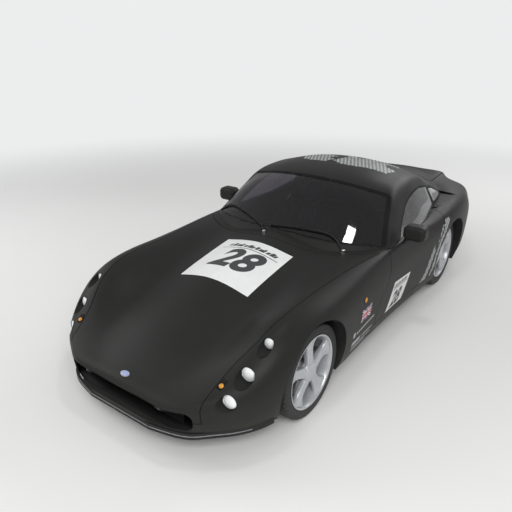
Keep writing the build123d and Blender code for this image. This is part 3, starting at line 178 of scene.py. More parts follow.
def noise(tree, scale, detail=3.0, vector=None):
    node = tree.nodes.new("ShaderNodeTexNoise")
    node.inputs["Detail"].default_value = detail
    if isinstance(scale, (int, float)):
        node.inputs["Scale"].default_value = scale
    else:
        tree.links.new(scale, node.inputs["Scale"])
    if vector is None:
        vector = tree.nodes.new("ShaderNodeTexCoord").outputs["Object"]
    tree.links.new(vector, node.inputs["Vector"])
    return node.outputs["Fac"]


# %% Group: mottle between two tones
mottle_group, entry, leave = shared_group(
    "mottle",
    [("Light Tone", "NodeSocketColor", (0.8, 0.8, 0.8, 1)),
     ("Dark Tone", "NodeSocketColor", (0.2, 0.2, 0.2, 1)),
     ("Scale", "NodeSocketFloat", 20.0)],
    [("Colour", "NodeSocketColor"), ("Mask", "NodeSocketFloat")])
cloud = noise(mottle_group, entry.outputs["Scale"], 5.0)
mask = math_node(mottle_group, "MULTIPLY_ADD", cloud, 2.2, -0.6, clamp=True)
tone = mix_colour(mottle_group, mask, entry.outputs["Dark Tone"], entry.outputs["Light Tone"])
mottle_group.links.new(tone, leave.inputs["Colour"])
mottle_group.links.new(mask, leave.inputs["Mask"])

# %% Group: road film, thick near the ground
film_group, entry, leave = shared_group(
    "road_film",
    [("Colour", "NodeSocketColor", (0.5, 0.5, 0.5, 1)),
     ("Film", "NodeSocketColor", (0.12, 0.11, 0.1, 1)),
     ("Top", "NodeSocketFloat", 0.4),
     ("Strength", "NodeSocketFloat", 0.4)],
    [("Colour", "NodeSocketColor"), ("Mask", "NodeSocketFloat")])
place = film_group.nodes.new("ShaderNodeTexCoord").outputs["Object"]
split = film_group.nodes.new("ShaderNodeSeparateXYZ")
film_group.links.new(place, split.inputs[0])
share = math_node(film_group, "DIVIDE", split.outputs["Z"], entry.outputs["Top"], clamp=True)
low = math_node(film_group, "SUBTRACT", 1.0, share)
patchy = math_node(film_group, "MULTIPLY", low, noise(film_group, 9.0, 6.0))
film_mask = math_node(film_group, "MULTIPLY", patchy, entry.outputs["Strength"], clamp=True)
film_group.links.new(mix_colour(film_group, film_mask, entry.outputs["Colour"],
                                entry.outputs["Film"]), leave.inputs["Colour"])
film_group.links.new(film_mask, leave.inputs["Mask"])

# %% Group: fine texture for bumps
texture_group, entry, leave = shared_group(
    "fine_texture",
    [("Scale", "NodeSocketFloat", 400.0), ("Depth", "NodeSocketFloat", 1.0)],
    [("Height", "NodeSocketFloat")])
fine = noise(texture_group, entry.outputs["Scale"], 4.0)
texture_group.links.new(math_node(texture_group, "MULTIPLY", fine, entry.outputs["Depth"]),
                        leave.inputs["Height"])

# %% Group: weave of cloth
weave_group, entry, leave = shared_group(
    "weave",
    [("Threads", "NodeSocketFloat", 700.0)],
    [("Height", "NodeSocketFloat"), ("Mask", "NodeSocketFloat")])
place = weave_group.nodes.new("ShaderNodeTexCoord").outputs["Object"]
split = weave_group.nodes.new("ShaderNodeSeparateXYZ")
weave_group.links.new(place, split.inputs[0])
slope = math_node(weave_group, "ADD", split.outputs["Y"], split.outputs["Z"])
turns = [math_node(weave_group, "SINE", math_node(
    weave_group, "MULTIPLY", axis, math_node(weave_group, "MULTIPLY", entry.outputs["Threads"], 2 * pi)))
    for axis in (split.outputs["X"], slope)]
crossing = math_node(weave_group, "MULTIPLY", turns[0], turns[1])
height = math_node(weave_group, "MULTIPLY_ADD", crossing, 0.5, 0.5)
weave_group.links.new(height, leave.inputs["Height"])
weave_group.links.new(height, leave.inputs["Mask"])
print("shared groups:", [g.name for g in bpy.data.node_groups])


# %% Helper: a material with its shader
def finish(name, roughness=0.5, metallic=0.0, **sockets):
    """A material with a Principled shader; returns (material, tree, shader)."""
    material = bpy.data.materials.new(name)
    material.use_nodes = True
    tree = material.node_tree
    shader = tree.nodes["Principled BSDF"]
    shader.inputs["Roughness"].default_value = roughness
    shader.inputs["Metallic"].default_value = metallic
    for label, value in sockets.items():
        shader.inputs[label.replace("_", " ")].default_value = value
    return material, tree, shader


def place_group(tree, group, **values):
    node = tree.nodes.new("ShaderNodeGroup")
    node.node_tree = group
    for label, value in values.items():
        node.inputs[label.replace("_", " ")].default_value = value
    return node


def add_bump(tree, shader, height, strength, distance=0.001):
    bump = tree.nodes.new("ShaderNodeBump")
    bump.inputs["Strength"].default_value = strength
    bump.inputs["Distance"].default_value = distance
    tree.links.new(height, bump.inputs["Height"])
    tree.links.new(bump.outputs[0], shader.inputs["Normal"])


def vary_roughness(tree, shader, mask, low, high):
    tree.links.new(math_node(tree, "MULTIPLY_ADD", mask, high - low, low), shader.inputs["Roughness"])


def mottled(name, light, dark, scale, rough_range, grain=None, film=None, metallic=0.0, **sockets):
    """A finish that wanders between two tones, with its own grain and road film."""
    material, tree, shader = finish(name, metallic=metallic, **sockets)
    tones = place_group(tree, mottle_group, Light_Tone=(*light, 1), Dark_Tone=(*dark, 1), Scale=scale)
    colour = tones.outputs["Colour"]
    if film:
        dust = place_group(tree, film_group, Top=film[0], Strength=film[1])
        tree.links.new(colour, dust.inputs["Colour"])
        colour = dust.outputs["Colour"]
    tree.links.new(colour, shader.inputs["Base Color"])
    vary_roughness(tree, shader, tones.outputs["Mask"], *rough_range)
    if grain:
        texture = place_group(tree, texture_group, Scale=grain[0])
        add_bump(tree, shader, texture.outputs["Height"], grain[1])
    return material


# %% [markdown]
# ## Finishes
# The body wears a satin dark grey, hardly glossy, with the faint orange peel of sprayed paint and
# a little road film on the sills. The rest is rubber, moulded plastic, cast and brushed metal.

# %% Finishes of the body
satin_paint = mottled("satin_paint", (0.0200, 0.0206, 0.0190), (0.0168, 0.0174, 0.0162), 3.0, (0.40, 0.47),
                      grain=(900, 0.05), film=(0.42, 0.35), Specular_IOR_Level=0.13)
moulded_black = mottled("moulded_black", (0.018, 0.018, 0.019), (0.012, 0.012, 0.012), 30.0, (0.55, 0.7),
                        grain=(1500, 0.3), film=(0.3, 0.2), Specular_IOR_Level=0.25)
seal_rubber = mottled("seal_rubber", (0.006, 0.006, 0.0065), (0.003, 0.003, 0.0035), 60.0, (0.5, 0.65),
                      grain=(1200, 0.15), Specular_IOR_Level=0.15)
panel_white = mottled("panel_white", (0.76, 0.77, 0.76), (0.71, 0.72, 0.71), 12.0, (0.35, 0.45),
                      grain=(700, 0.04))
panel_dark = mottled("panel_dark", (0.045, 0.047, 0.05), (0.038, 0.04, 0.042), 12.0, (0.4, 0.5),
                     grain=(700, 0.04))
vinyl_grey = mottled("vinyl_grey", (0.47, 0.485, 0.485), (0.40, 0.415, 0.415), 8.0, (0.35, 0.5),
                     grain=(700, 0.04))
vinyl_mid = mottled("vinyl_mid", (0.125, 0.13, 0.13), (0.10, 0.105, 0.105), 8.0, (0.4, 0.5),
                    grain=(700, 0.04))
vinyl_red = mottled("vinyl_red", (0.45, 0.02, 0.05), (0.4, 0.015, 0.04), 10.0, (0.35, 0.5))
vinyl_blue = mottled("vinyl_blue", (0.02, 0.03, 0.2), (0.016, 0.02, 0.16), 10.0, (0.35, 0.5))
badge_enamel = mottled("badge_enamel", (0.45, 0.52, 0.75), (0.3, 0.36, 0.6), 90.0, (0.15, 0.3),
                       metallic=0.4)

# %% Finishes of metal
rim_silver = mottled("rim_silver", (0.50, 0.51, 0.53), (0.43, 0.44, 0.46), 14.0, (0.28, 0.38),
                     grain=(1400, 0.03), metallic=0.35, Coat_Weight=0.3, Coat_Roughness=0.15)
ground_iron = mottled("ground_iron", (0.36, 0.36, 0.37), (0.25, 0.25, 0.26), 120.0, (0.28, 0.42),
                      grain=(2500, 0.2), metallic=1.0)
coated_steel = mottled("coated_steel", (0.05, 0.05, 0.052), (0.035, 0.035, 0.036), 25.0, (0.4, 0.55),
                       grain=(900, 0.12), film=(0.35, 0.5))
satin_steel = mottled("satin_steel", (0.42, 0.42, 0.43), (0.3, 0.3, 0.31), 40.0, (0.3, 0.45),
                      grain=(1800, 0.08), metallic=0.9)
cast_alloy = mottled("cast_alloy", (0.5, 0.5, 0.5), (0.38, 0.38, 0.38), 50.0, (0.45, 0.65),
                     grain=(800, 0.5), metallic=0.8)
polished_steel = mottled("polished_steel", (0.72, 0.7, 0.67), (0.5, 0.48, 0.46), 18.0, (0.1, 0.25),
                         metallic=1.0)
bright_chrome = mottled("bright_chrome", (0.92, 0.92, 0.93), (0.85, 0.85, 0.87), 20.0, (0.04, 0.1),
                        metallic=1.0)
mirror_silver = mottled("mirror_silver", (0.93, 0.94, 0.95), (0.9, 0.91, 0.92), 4.0, (0.01, 0.03),
                        metallic=1.0)
print("finishes so far:", len(bpy.data.materials))

# %% [markdown]
# ## Glass and lenses
# Car glass is a thin solid sheet, so light bends in and out again and the tint shows twice.
# The windscreen is tinted dark, the other windows are nearly clear, the lamp glass is clear, and
# the lenses of the small lamps are coloured through and through.


# %% Finishes of glass
def clear_finish(name, light, dark, roughness, transmission, scale=5.0, **sockets):
    material, tree, shader = finish(name, roughness=roughness, Transmission_Weight=transmission,
                                    IOR=1.5, **sockets)
    tones = place_group(tree, mottle_group, Light_Tone=(*light, 1), Dark_Tone=(*dark, 1), Scale=scale)
    tree.links.new(tones.outputs["Colour"], shader.inputs["Base Color"])
    return material


screen_glass = clear_finish("screen_glass", (0.17, 0.155, 0.185), (0.13, 0.12, 0.145), 0.03, 1.0,
                            Specular_IOR_Level=0.2)
tinted_glass = clear_finish("tinted_glass", (0.64, 0.64, 0.66), (0.60, 0.60, 0.62), 0.01, 1.0)
lamp_glass = clear_finish("lamp_glass", (0.97, 0.98, 0.98), (0.94, 0.95, 0.96), 0.02, 1.0)
# Headlamp lens in near white: the colour is a painted reflection of a lit reflector behind clear glass.
lens_painted_reflection = mottled("lens_painted_reflection", (0.93, 0.94, 0.94), (0.86, 0.87, 0.88), 60.0, (0.12, 0.22),
                     grain=(900, 0.1), Coat_Weight=0.6, Coat_Roughness=0.05)
amber_lens = clear_finish("amber_lens", (0.95, 0.42, 0.03), (0.85, 0.33, 0.02), 0.12, 0.35)
red_lens = clear_finish("red_lens", (0.55, 0.01, 0.01), (0.42, 0.005, 0.005), 0.08, 0.4)

# %% [markdown]
# ## Tyre rubber and cloth
# Rubber is nearly black and catches dust. The seats are upholstered in black cloth, whose weave
# is a height made from two crossed waves.

# %% Finishes of rubber and cloth
tyre_rubber = mottled("tyre_rubber", (0.022, 0.022, 0.023), (0.013, 0.013, 0.013), 35.0, (0.6, 0.8),
                      grain=(1300, 0.35), film=(0.5, 0.25))
hide_black = mottled("hide_black", (0.022, 0.021, 0.02), (0.013, 0.012, 0.012), 90.0, (0.4, 0.55),
                     grain=(1100, 0.5))


def cloth(name, light, dark, threads, roughness=0.85):
    material, tree, shader = finish(name, roughness=roughness, Sheen_Weight=0.3, Sheen_Roughness=0.5)
    weave = place_group(tree, weave_group, Threads=threads)
    colour = mix_colour(tree, weave.outputs["Mask"], (*dark, 1), (*light, 1))
    tree.links.new(colour, shader.inputs["Base Color"])
    add_bump(tree, shader, weave.outputs["Height"], 0.5, 0.0006)
    return material


seat_cloth = cloth("seat_cloth", (0.022, 0.022, 0.024), (0.015, 0.015, 0.016), 330.0)
belt_webbing = cloth("belt_webbing", (0.06, 0.06, 0.065), (0.035, 0.035, 0.04), 420.0)
print("finishes:", len(bpy.data.materials))

# %% [markdown]
# ## Dressing the CAD panels
# The CAD panels keep their meshes. Each gets its finish in its material slot.

# %% Finishes of the CAD nodes
DRESS = {
    "front_body": satin_paint, "rear_body": satin_paint, "windscreen_frame": satin_paint,
    "roof": satin_paint, "door_frames": satin_paint, "bonnet": satin_paint, "boot_lid": satin_paint,
    "door_left": satin_paint, "door_right": satin_paint, "door_mirror_left": satin_paint,
    "door_mirror_right": satin_paint, "floor_pan": moulded_black, "front_splitter": moulded_black,
    "arch_liners": moulded_black, "windscreen": screen_glass, "rear_glass": tinted_glass,
    "door_glass_left": tinted_glass, "door_glass_right": tinted_glass, "tail_lamps": red_lens,
    "headlamps": lamp_glass, "indicators": amber_lens, "chassis_frame": coated_steel,
    "engine": cast_alloy, "radiator": moulded_black, "firewall": coated_steel,
    "rear_bulkhead": coated_steel, "transmission_tunnel": moulded_black, "suspension_arms": satin_steel,
    "rear_axle": cast_alloy, "knuckle_left": satin_steel, "knuckle_right": satin_steel,
    "dashboard": moulded_black, "steering_wheel": hide_black, "steering_rack": satin_steel,
    "seats": seat_cloth, "wipers": moulded_black, "exhaust": polished_steel,
}
for end, side in WHEELS:
    DRESS[f"tyre_{end}_{side}"] = tyre_rubber
    DRESS[f"wheel_{end}_{side}"] = rim_silver
    DRESS[f"brake_disc_{end}_{side}"] = ground_iron

for name, node in nodes.items():
    node.data.materials.clear()
    node.data.materials.append(DRESS[name])
print("dressed nodes:", len(DRESS))

# %% [markdown]
# ## Tools for making pieces
# Most pieces are made in one of three ways: a profile turned round an axle, a run of sections
# joined like the ribs of a boat, or a flat outline laid onto a panel. The three helpers below do
# just that, and one more puts the finished piece on its body.


# %% Helper: put a piece in the scene
def new_piece(name, mesh, material, body, hides=(), smooth=True):
    """Links a mesh as a piece that rides on a body and stands for the CAD nodes in hides."""
    if isinstance(mesh, bmesh.types.BMesh):
        data = bpy.data.meshes.new(name)
        mesh.to_mesh(data)
        mesh.free()
        mesh = data
    mesh.materials.clear()
    mesh.materials.append(material)
    mesh.polygons.foreach_set("use_smooth", [smooth] * len(mesh.polygons))
    piece = bpy.data.objects.new(name, mesh)
    bpy.context.scene.collection.objects.link(piece)
    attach(piece, body)
    if hides:
        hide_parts(*hides)
    return piece


def subdivide(piece, levels=2):
    modifier = piece.modifiers.new("subdivision", "SUBSURF")
    modifier.levels = modifier.render_levels = levels
    return piece


def round_edges(piece, width, segments=2):
    modifier = piece.modifiers.new("bevel", "BEVEL")
    modifier.width, modifier.segments = width, segments
    modifier.limit_method = "ANGLE"
    modifier.harden_normals = False
    return piece


# %% Helper: rings of points joined into a skin
def skin_rings(mesh, rings, closed_ring=True, closed_run=False, caps=False):
    """Joins equal rings of points with quads; caps closes both ends."""
    rows = [[mesh.verts.new(p) for p in ring] for ring in rings]
    count = len(rows[0])
    last = len(rows) if closed_run else len(rows) - 1
    for i in range(last):
        first, second = rows[i], rows[(i + 1) % len(rows)]
        for j in range(count if closed_ring else count - 1):
            k = (j + 1) % count
            mesh.faces.new((first[j], first[k], second[k], second[j]))
    if caps:
        mesh.faces.new(rows[0][::-1])
        mesh.faces.new(rows[-1])
    return rows


def turned(mesh, profile, segments, centre, outboard=1, closed=True):
    """A profile of (along axle, radius) points turned round an axle that lies along X."""
    rings = []
    for i in range(segments):
        angle = 2 * pi * i / segments
        rings.append([(centre[0] + outboard * x, centre[1] + r * sin(angle), centre[2] + r * cos(angle))
                      for x, r in profile])
    skin_rings(mesh, rings, closed_ring=closed, closed_run=True)
    return mesh


def tidy_normals(mesh):
    bmesh.ops.remove_doubles(mesh, verts=mesh.verts, dist=1e-6)
    bmesh.ops.recalc_face_normals(mesh, faces=mesh.faces)
    return mesh


def box_into(mesh, low, high, turn=None):
    """Adds a plain box to a mesh, turned about its own middle if turn is given."""
    low, high = Vector(low), Vector(high)
    middle = (low + high) / 2
    size = high - low
    matrix = Matrix.Translation(middle) @ (turn.to_4x4() if turn else Matrix()) @ Matrix.Diagonal((*size, 1))
    bmesh.ops.create_cube(mesh, size=1.0, matrix=matrix)


def tube_into(mesh, points, radius, sides=10, caps=True):
    """Adds a round tube along a run of points."""
    points = [Vector(p) for p in points]
    rings = []
    side = None
    for i, point in enumerate(points):
        along = (points[min(i + 1, len(points) - 1)] - points[max(i - 1, 0)]).normalized()
        if side is None:
            side = along.orthogonal().normalized()
        side = (side - along * side.dot(along)).normalized()
        up = along.cross(side)
        rings.append([point + (side * cos(2 * pi * j / sides) + up * sin(2 * pi * j / sides)) * radius
                      for j in range(sides)])
    skin_rings(mesh, rings, caps=caps)


def arc_run(points, steps):
    """A smooth run through a few points (Catmull-Rom)."""
    points = [Vector(p) for p in points]
    ends = [points[0] * 2 - points[1]] + points + [points[-1] * 2 - points[-2]]
    run = []
    for i in range(1, len(ends) - 2):
        a, b, c, d = ends[i - 1:i + 3]
        for k in range(steps):
            t = k / steps
            run.append(0.5 * ((2 * b) + (c - a) * t + (2 * a - 5 * b + 4 * c - d) * t * t
                              + (3 * b - a - 3 * c + d) * t ** 3))
    return run + [points[-1]]


# %% [markdown]
# ## Tyres
# A low-profile tyre has a rib that guards the rim, a slightly bulging wall and square shoulders.
# The tread is real geometry: three straight grooves round the tyre, and slanting cuts across the
# shoulders. One profile is turned in steps, and at each cut the shoulder points drop.

# %% Tyres
TREAD_DEPTH = 0.005
TREAD_PITCHES = 56
GROOVES = (-0.42, 0.0, 0.42)
GROOVE_WIDTH = 0.009


def tyre_profile(half, radius):
    """(along axle, radius, is shoulder) from the inner bead over the tread to the outer bead."""
    edge = half * 0.94
    wall = [(half - 0.0125, 0.2290), (half - 0.0105, 0.2410), (half - 0.0060, 0.2425),
            (half - 0.0012, 0.2460), (half - 0.0010, 0.2495), (half - 0.0040, 0.2520),
            (half - 0.0030, 0.2600), (half - 0.0012, (radius + 0.235) / 2),
            (half - 0.0030, radius - 0.032), (half - 0.0050, radius - 0.0245),
            (half - 0.0045, radius - 0.0225), (half - 0.0075, radius - 0.0160),
            (edge - 0.0010, radius - 0.0090), (edge - 0.0080, radius - 0.0035)]
    side = [(x, r, r > radius - 0.020) for x, r in wall]
    tread = []
    for x in (0.80, 0.62):
        tread.append((x * half, radius - 0.0008, True))
    for groove in GROOVES[::-1]:
        middle = groove * half
        for offset, drop in ((0.5, 0), (0.42, 1), (-0.42, 1), (-0.5, 0)):
            tread.append((middle + offset * GROOVE_WIDTH, radius - drop * TREAD_DEPTH, False))
    for x in (-0.62, -0.80):
        tread.append((x * half, radius - 0.0008, True))
    other = [(-x, r, s) for x, r, s in side[::-1]]
    return side + tread + other


def build_tyre(end, side):
    node = f"tyre_{end}_{side}"
    size, centre = size_of(node), centre_of(node)
    half, radius = size.x / 2, size.z / 2
    profile = tyre_profile(half, radius)
    mesh = bmesh.new()
    rings = []
    for pitch in range(TREAD_PITCHES):
        for share, cut in ((0.0, 0), (0.03, 1), (0.15, 1), (0.18, 0)):
            ring = []
            for x, r, shoulder in profile:
                slant = 0.35 * abs(x) / half
                angle = 2 * pi * (pitch + share + slant) / TREAD_PITCHES
                r -= TREAD_DEPTH * 0.8 * cut if shoulder else 0
                ring.append((centre.x + SIDES[side] * x, centre.y + r * sin(angle),
                             centre.z + r * cos(angle)))
            rings.append(ring)
    skin_rings(mesh, rings, closed_ring=True, closed_run=True)
    piece = new_piece(f"detailed_{node}", tidy_normals(mesh), tyre_rubber, f"wheel_{end}_{side}",
                      hides=[node])
    piece.data.set_sharp_from_angle(angle=radians(40))
    return piece


tyres = [build_tyre(end, side) for end, side in WHEELS]
print("tyre faces:", len(tyres[0].data.polygons))

# %% [markdown]
# ## Wheels
# Each rim is a turned barrel with a bright rolled lip. Five broad spokes run out to it, one of
# them straight up, each with thick side walls, a raised ridge down its middle and a flare where
# it meets the barrel. Sections joined along the spoke and then subdivided give the cast look.

# %% Wheels
SPOKES = 5
HUB_RADIUS = 0.072
CAP_RADIUS = 0.060
# along each spoke: radius, half width, how far its face lies behind the lip, depth
SPOKE_RIBS = [(0.045, 0.036, 0.012, 0.050), (0.075, 0.034, 0.012, 0.050), (0.105, 0.031, 0.016, 0.050),
              (0.140, 0.032, 0.020, 0.048), (0.172, 0.038, 0.020, 0.046), (0.196, 0.050, 0.016, 0.046),
              (0.212, 0.066, 0.011, 0.048), (0.226, 0.084, 0.008, 0.050)]


def rim_profile(half):
    return [(half - 0.010, 0.2410), (half - 0.002, 0.2410), (half, 0.2390), (half, 0.2345),
            (half - 0.003, 0.2310), (half - 0.007, 0.2275), (half - 0.030, 0.2235), (half - 0.060, 0.2170),
            (-half + 0.060, 0.2100), (-half + 0.020, 0.2160), (-half, 0.2220), (-half, 0.2410),
            (-half + 0.010, 0.2410), (-half + 0.012, 0.2286), (-half + 0.040, 0.2266), (-0.020, 0.2190),
            (half - 0.040, 0.2266), (half - 0.012, 0.2286)]


def spoke_ring(radius, wide, face, depth, half, angle, centre, outboard):
    """One section across a spoke: side walls, shoulders and the ridge."""
    front = half - face
    section = [(-1.00, front - depth), (-1.00, front - 0.012), (-0.90, front - 0.004),
               (-0.62, front - 0.0015), (-0.34, front - 0.003), (-0.20, front + 0.001),
               (0.20, front + 0.001), (0.34, front - 0.003), (0.62, front - 0.0015),
               (0.90, front - 0.004), (1.00, front - 0.012), (1.00, front - depth)]
    ring = []
    for share, x in section:
        across = share * wide
        out_y = radius * sin(angle) + across * cos(angle)
        out_z = radius * cos(angle) - across * sin(angle)
        ring.append((centre.x + outboard * x, centre.y + out_y, centre.z + out_z))
    return ring


def build_wheel(end, side):
    node = f"wheel_{end}_{side}"
    half, centre, outboard = size_of(node).x / 2, centre_of(node), SIDES[side]
    barrel = bmesh.new()
    turned(barrel, rim_profile(half), 96, centre, outboard)
    rim = new_piece(f"rim_{end}_{side}", tidy_normals(barrel), rim_silver, node, hides=[node])
    rim.data.set_sharp_from_angle(angle=radians(50))
    spokes = bmesh.new()
    for index in range(SPOKES):
        angle = 2 * pi * index / SPOKES
        rings = [spoke_ring(*rib, half, angle, centre, outboard) for rib in SPOKE_RIBS]
        skin_rings(spokes, rings, caps=True)
    spoke_piece = new_piece(f"spokes_{end}_{side}", tidy_normals(spokes), rim_silver, node)
    for edge in spoke_piece.data.edges:
        edge.use_edge_sharp = False
    subdivide(spoke_piece, 2)
    front = half - 0.012
    hub = bmesh.new()
    turned(hub, [(front - 0.055, 0.0), (front - 0.055, HUB_RADIUS), (front - 0.010, HUB_RADIUS),
                 (front - 0.003, HUB_RADIUS - 0.003), (front - 0.001, HUB_RADIUS - 0.007),
                 (front - 0.004, CAP_RADIUS + 0.002), (front - 0.004, 0.0)], 64, centre, outboard,
           closed=False)
    new_piece(f"hub_{end}_{side}", tidy_normals(hub), rim_silver, node)
    cap = bmesh.new()
    dome = [(front - 0.006, CAP_RADIUS)]
    dome += [(front - 0.003 + 0.011 * cos(a), CAP_RADIUS * sin(a)) for a in
             (radians(90 - 9 * k) for k in range(0, 11))]
    turned(cap, dome, 48, centre, outboard, closed=False)
    new_piece(f"hub_cap_{end}_{side}", tidy_normals(cap), rim_silver, node)
    return rim


rims = [build_wheel(end, side) for end, side in WHEELS]
print("wheels built:", len(rims))

# %% [markdown]
# ## Laying flat shapes onto curved panels
# Stickers are cut flat and laid onto the paint. Each outline is filled as a flat curve, sliced
# into small cells so that it can bend, and then dropped onto the panel below along a straight
# line. Each layer is lifted by 0.4 mm, which keeps it on top of the paint.

# %% Helper: stickers
STICKER_LIFT = 0.0004
CELL = 0.02
_surfaces = {}


def surface_of(names):
    """A search tree over one or more CAD nodes."""
    key = tuple(names)
    if key not in _surfaces:
        points, faces = [], []
        for name in names:
            start = len(points)
            points += [v.co.copy() for v in nodes[name].data.vertices]
            faces += [[start + i for i in p.vertices] for p in nodes[name].data.polygons]
        _surfaces[key] = BVHTree.FromPolygons(points, faces)
    return _surfaces[key]


def met(onto, start, direction):
    """Where a straight line first meets the nodes in onto, and the face normal there."""
    return surface_of(onto).ray_cast(Vector(start), Vector(direction))[:2]


def filled(outlines):
    """A flat mesh filled between closed outlines; an outline inside another is a hole."""
    curve = bpy.data.curves.new("outline", "CURVE")
    curve.dimensions = "2D"
    curve.fill_mode = "BOTH"
    for outline in outlines:
        spline = curve.splines.new("POLY")
        spline.points.add(len(outline) - 1)
        for point, (u, v) in zip(spline.points, outline):
            point.co = (u, v, 0, 1)
        spline.use_cyclic_u = True
    return flat_mesh(curve)


def flat_mesh(curve):
    holder = bpy.data.objects.new("flat", curve)
    bpy.context.scene.collection.objects.link(holder)
    graph = bpy.context.evaluated_depsgraph_get()
    data = bpy.data.meshes.new_from_object(holder.evaluated_get(graph))
    mesh = bmesh.new()
    mesh.from_mesh(data)
    bpy.data.objects.remove(holder)
    bpy.data.meshes.remove(data)
    bmesh.ops.remove_doubles(mesh, verts=mesh.verts, dist=1e-6)
    return mesh


def slice_cells(mesh, cell):
    for axis in (0, 1):
        values = [v.co[axis] for v in mesh.verts]
        steps = int((max(values) - min(values)) / cell)
        for i in range(1, steps + 1):
            place = Vector((0, 0, 0))
            normal = Vector((0, 0, 0))
            place[axis] = min(values) + i * cell
            normal[axis] = 1
            everything = mesh.verts[:] + mesh.edges[:] + mesh.faces[:]
            bmesh.ops.bisect_plane(mesh, geom=everything, plane_co=place, plane_no=normal)


def sticker(name, flat, to_space, direction, onto, material, body, lift=STICKER_LIFT, cell=CELL, behind=()):
    """Lays a flat mesh on the panels: to_space turns (u, v) into a start point in the air.

    Where a node named in behind would be met, nothing is laid: that part belongs to its own body."""
    slice_cells(flat, cell)
    tree = surface_of(onto)
    direction = Vector(direction).normalized()
    missed = []
    for vertex in flat.verts:
        start = Vector(to_space(vertex.co.x, vertex.co.y)) - direction * 0.5
        place, normal, _, _ = tree.ray_cast(start, direction)
        if place is None or (behind and surface_of(behind).ray_cast(start, direction)[0] is not None):
            missed.append(vertex)
            continue
        if normal.dot(direction) > 0:
            normal = -normal
        vertex.co = place + normal * lift
    bmesh.ops.delete(flat, geom=missed, context="VERTS")
    bmesh.ops.recalc_face_normals(flat, faces=flat.faces)
    if flat.faces and sum(f.normal.dot(direction) * f.calc_area() for f in flat.faces) > 0:
        bmesh.ops.reverse_faces(flat, faces=flat.faces)
    return new_piece(name, flat, material, body)


def digits(text, height, place, slant=0.28, weight=0.035):
    """Generic upright numerals as a flat mesh, scaled to a height and centred on a place."""
    curve = bpy.data.curves.new("numerals", "FONT")
    curve.body = text
    curve.shear = slant
    curve.offset = weight
    curve.fill_mode = "FRONT"
    curve.resolution_u = 6
    mesh = flat_mesh(curve)
    us = [v.co.x for v in mesh.verts]
    vs = [v.co.y for v in mesh.verts]
    scale = height / (max(vs) - min(vs))
    middle_u, middle_v = (max(us) + min(us)) / 2, (max(vs) + min(vs)) / 2
    for vertex in mesh.verts:
        vertex.co.x = (vertex.co.x - middle_u) * scale + place[0]
        vertex.co.y = (vertex.co.y - middle_v) * scale + place[1]
    return mesh

# %% [markdown]
# ## Number panels and stripes
# The bonnet carries a white square with a racing number, and each door a smaller one. Flat shapes
# are described in the panel's own plane: on the bonnet u runs to the car's left and v rearwards,
# on the doors u runs along the car and v upwards. Small bars stand where a title would be.

# %% Bonnet number
NUMBER = "28"
bonnet_low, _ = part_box("bonnet")
PANEL_WIDTH = 0.59
PANEL_FRONT = bonnet_low.y + 0.860
PANEL_REAR = PANEL_FRONT + 0.536
PANEL_MIDDLE = (PANEL_FRONT + PANEL_REAR) / 2


def above(u, v):
    return (u, v, 2.0)


def bar(u0, v0, u1, v1, lean=0.0):
    """A four-sided outline; lean pushes its top edge along u."""
    return [(u0, v0), (u1, v0), (u1 + lean, v1), (u0 + lean, v1)]


panel = bar(-PANEL_WIDTH / 2, PANEL_FRONT, PANEL_WIDTH / 2, PANEL_REAR)
sticker("bonnet_panel", filled([panel]), above, (0, 0, -1), ["bonnet"], panel_white, "bonnet")
sticker("bonnet_number", digits(NUMBER, 0.255, (0.005, PANEL_MIDDLE)), above, (0, 0, -1), ["bonnet"],
        panel_dark, "bonnet", lift=2 * STICKER_LIFT)
title_v = PANEL_REAR - 0.105
title = [bar(u, title_v, u + 0.020 + 0.006 * (i % 3), title_v + 0.030 + 0.012 * (i % 2), 0.012)
         for i, u in enumerate(0.033 * k - 0.205 for k in range(13))]
title.append([(-0.245, title_v - 0.030), (0.0, title_v - 0.022), (0.25, title_v - 0.030),
              (0.25, title_v - 0.024), (0.0, title_v - 0.014), (-0.245, title_v - 0.026)])
sticker("bonnet_title_bars", filled(title), above, (0, 0, -1), ["bonnet"], panel_dark, "bonnet",
        lift=2 * STICKER_LIFT)
print("bonnet panel from", round(PANEL_FRONT, 3), "to", round(PANEL_REAR, 3))

# %% [markdown]
# ## Chequered pieces
# A chequer is laid over the flanks and the roof in torn, wavy pieces. Each piece is a closed outline.
# The chequer itself is a grid of small lozenges, kept only where they fall inside the outline.


# %% Helper: chequer inside an outline
def inside(outline, u, v):
    hit = False
    for (u0, v0), (u1, v1) in zip(outline, outline[1:] + outline[:1]):
        if (v0 > v) != (v1 > v) and u < u0 + (v - v0) * (u1 - u0) / (v1 - v0):
            hit = not hit
    return hit


def chequer(outline, pitch, lean=0.5):
    """Lozenges in chequer order whose middles lie inside the outline."""
    us = [p[0] for p in outline]
    vs = [p[1] for p in outline]
    cells = []
    for j in range(int((max(vs) - min(vs)) / pitch) + 1):
        for i in range(-int(2 / pitch * lean), int((max(us) - min(us)) / pitch) + 1):
            if (i + j) % 2:
                continue
            v = min(vs) + j * pitch
            u = min(us) + i * pitch + (v - min(vs)) * lean
            if inside(outline, u + pitch * (0.5 + lean / 2), v + pitch / 2):
                cells.append(bar(u, v, u + pitch, v + pitch, lean * pitch))
    return cells


def cells_mesh(cells):
    mesh = bmesh.new()
    for cell in cells:
        mesh.faces.new([mesh.verts.new((u, v, 0)) for u, v in cell])
    return mesh


def chequered(name, outlines, to_space, direction, onto, body, pitch=0.017, lean=0.5, behind=()):
    """A thin grey ground with white lozenges over it."""
    sticker(f"{name}_ground", filled(outlines), to_space, direction, onto, vinyl_mid, body, behind=behind)
    cells = [c for outline in outlines for c in chequer(outline, pitch, lean)]
    return sticker(f"{name}_chequer", cells_mesh(cells), to_space, direction, onto, vinyl_grey, body,
                   lift=2 * STICKER_LIFT, behind=behind)


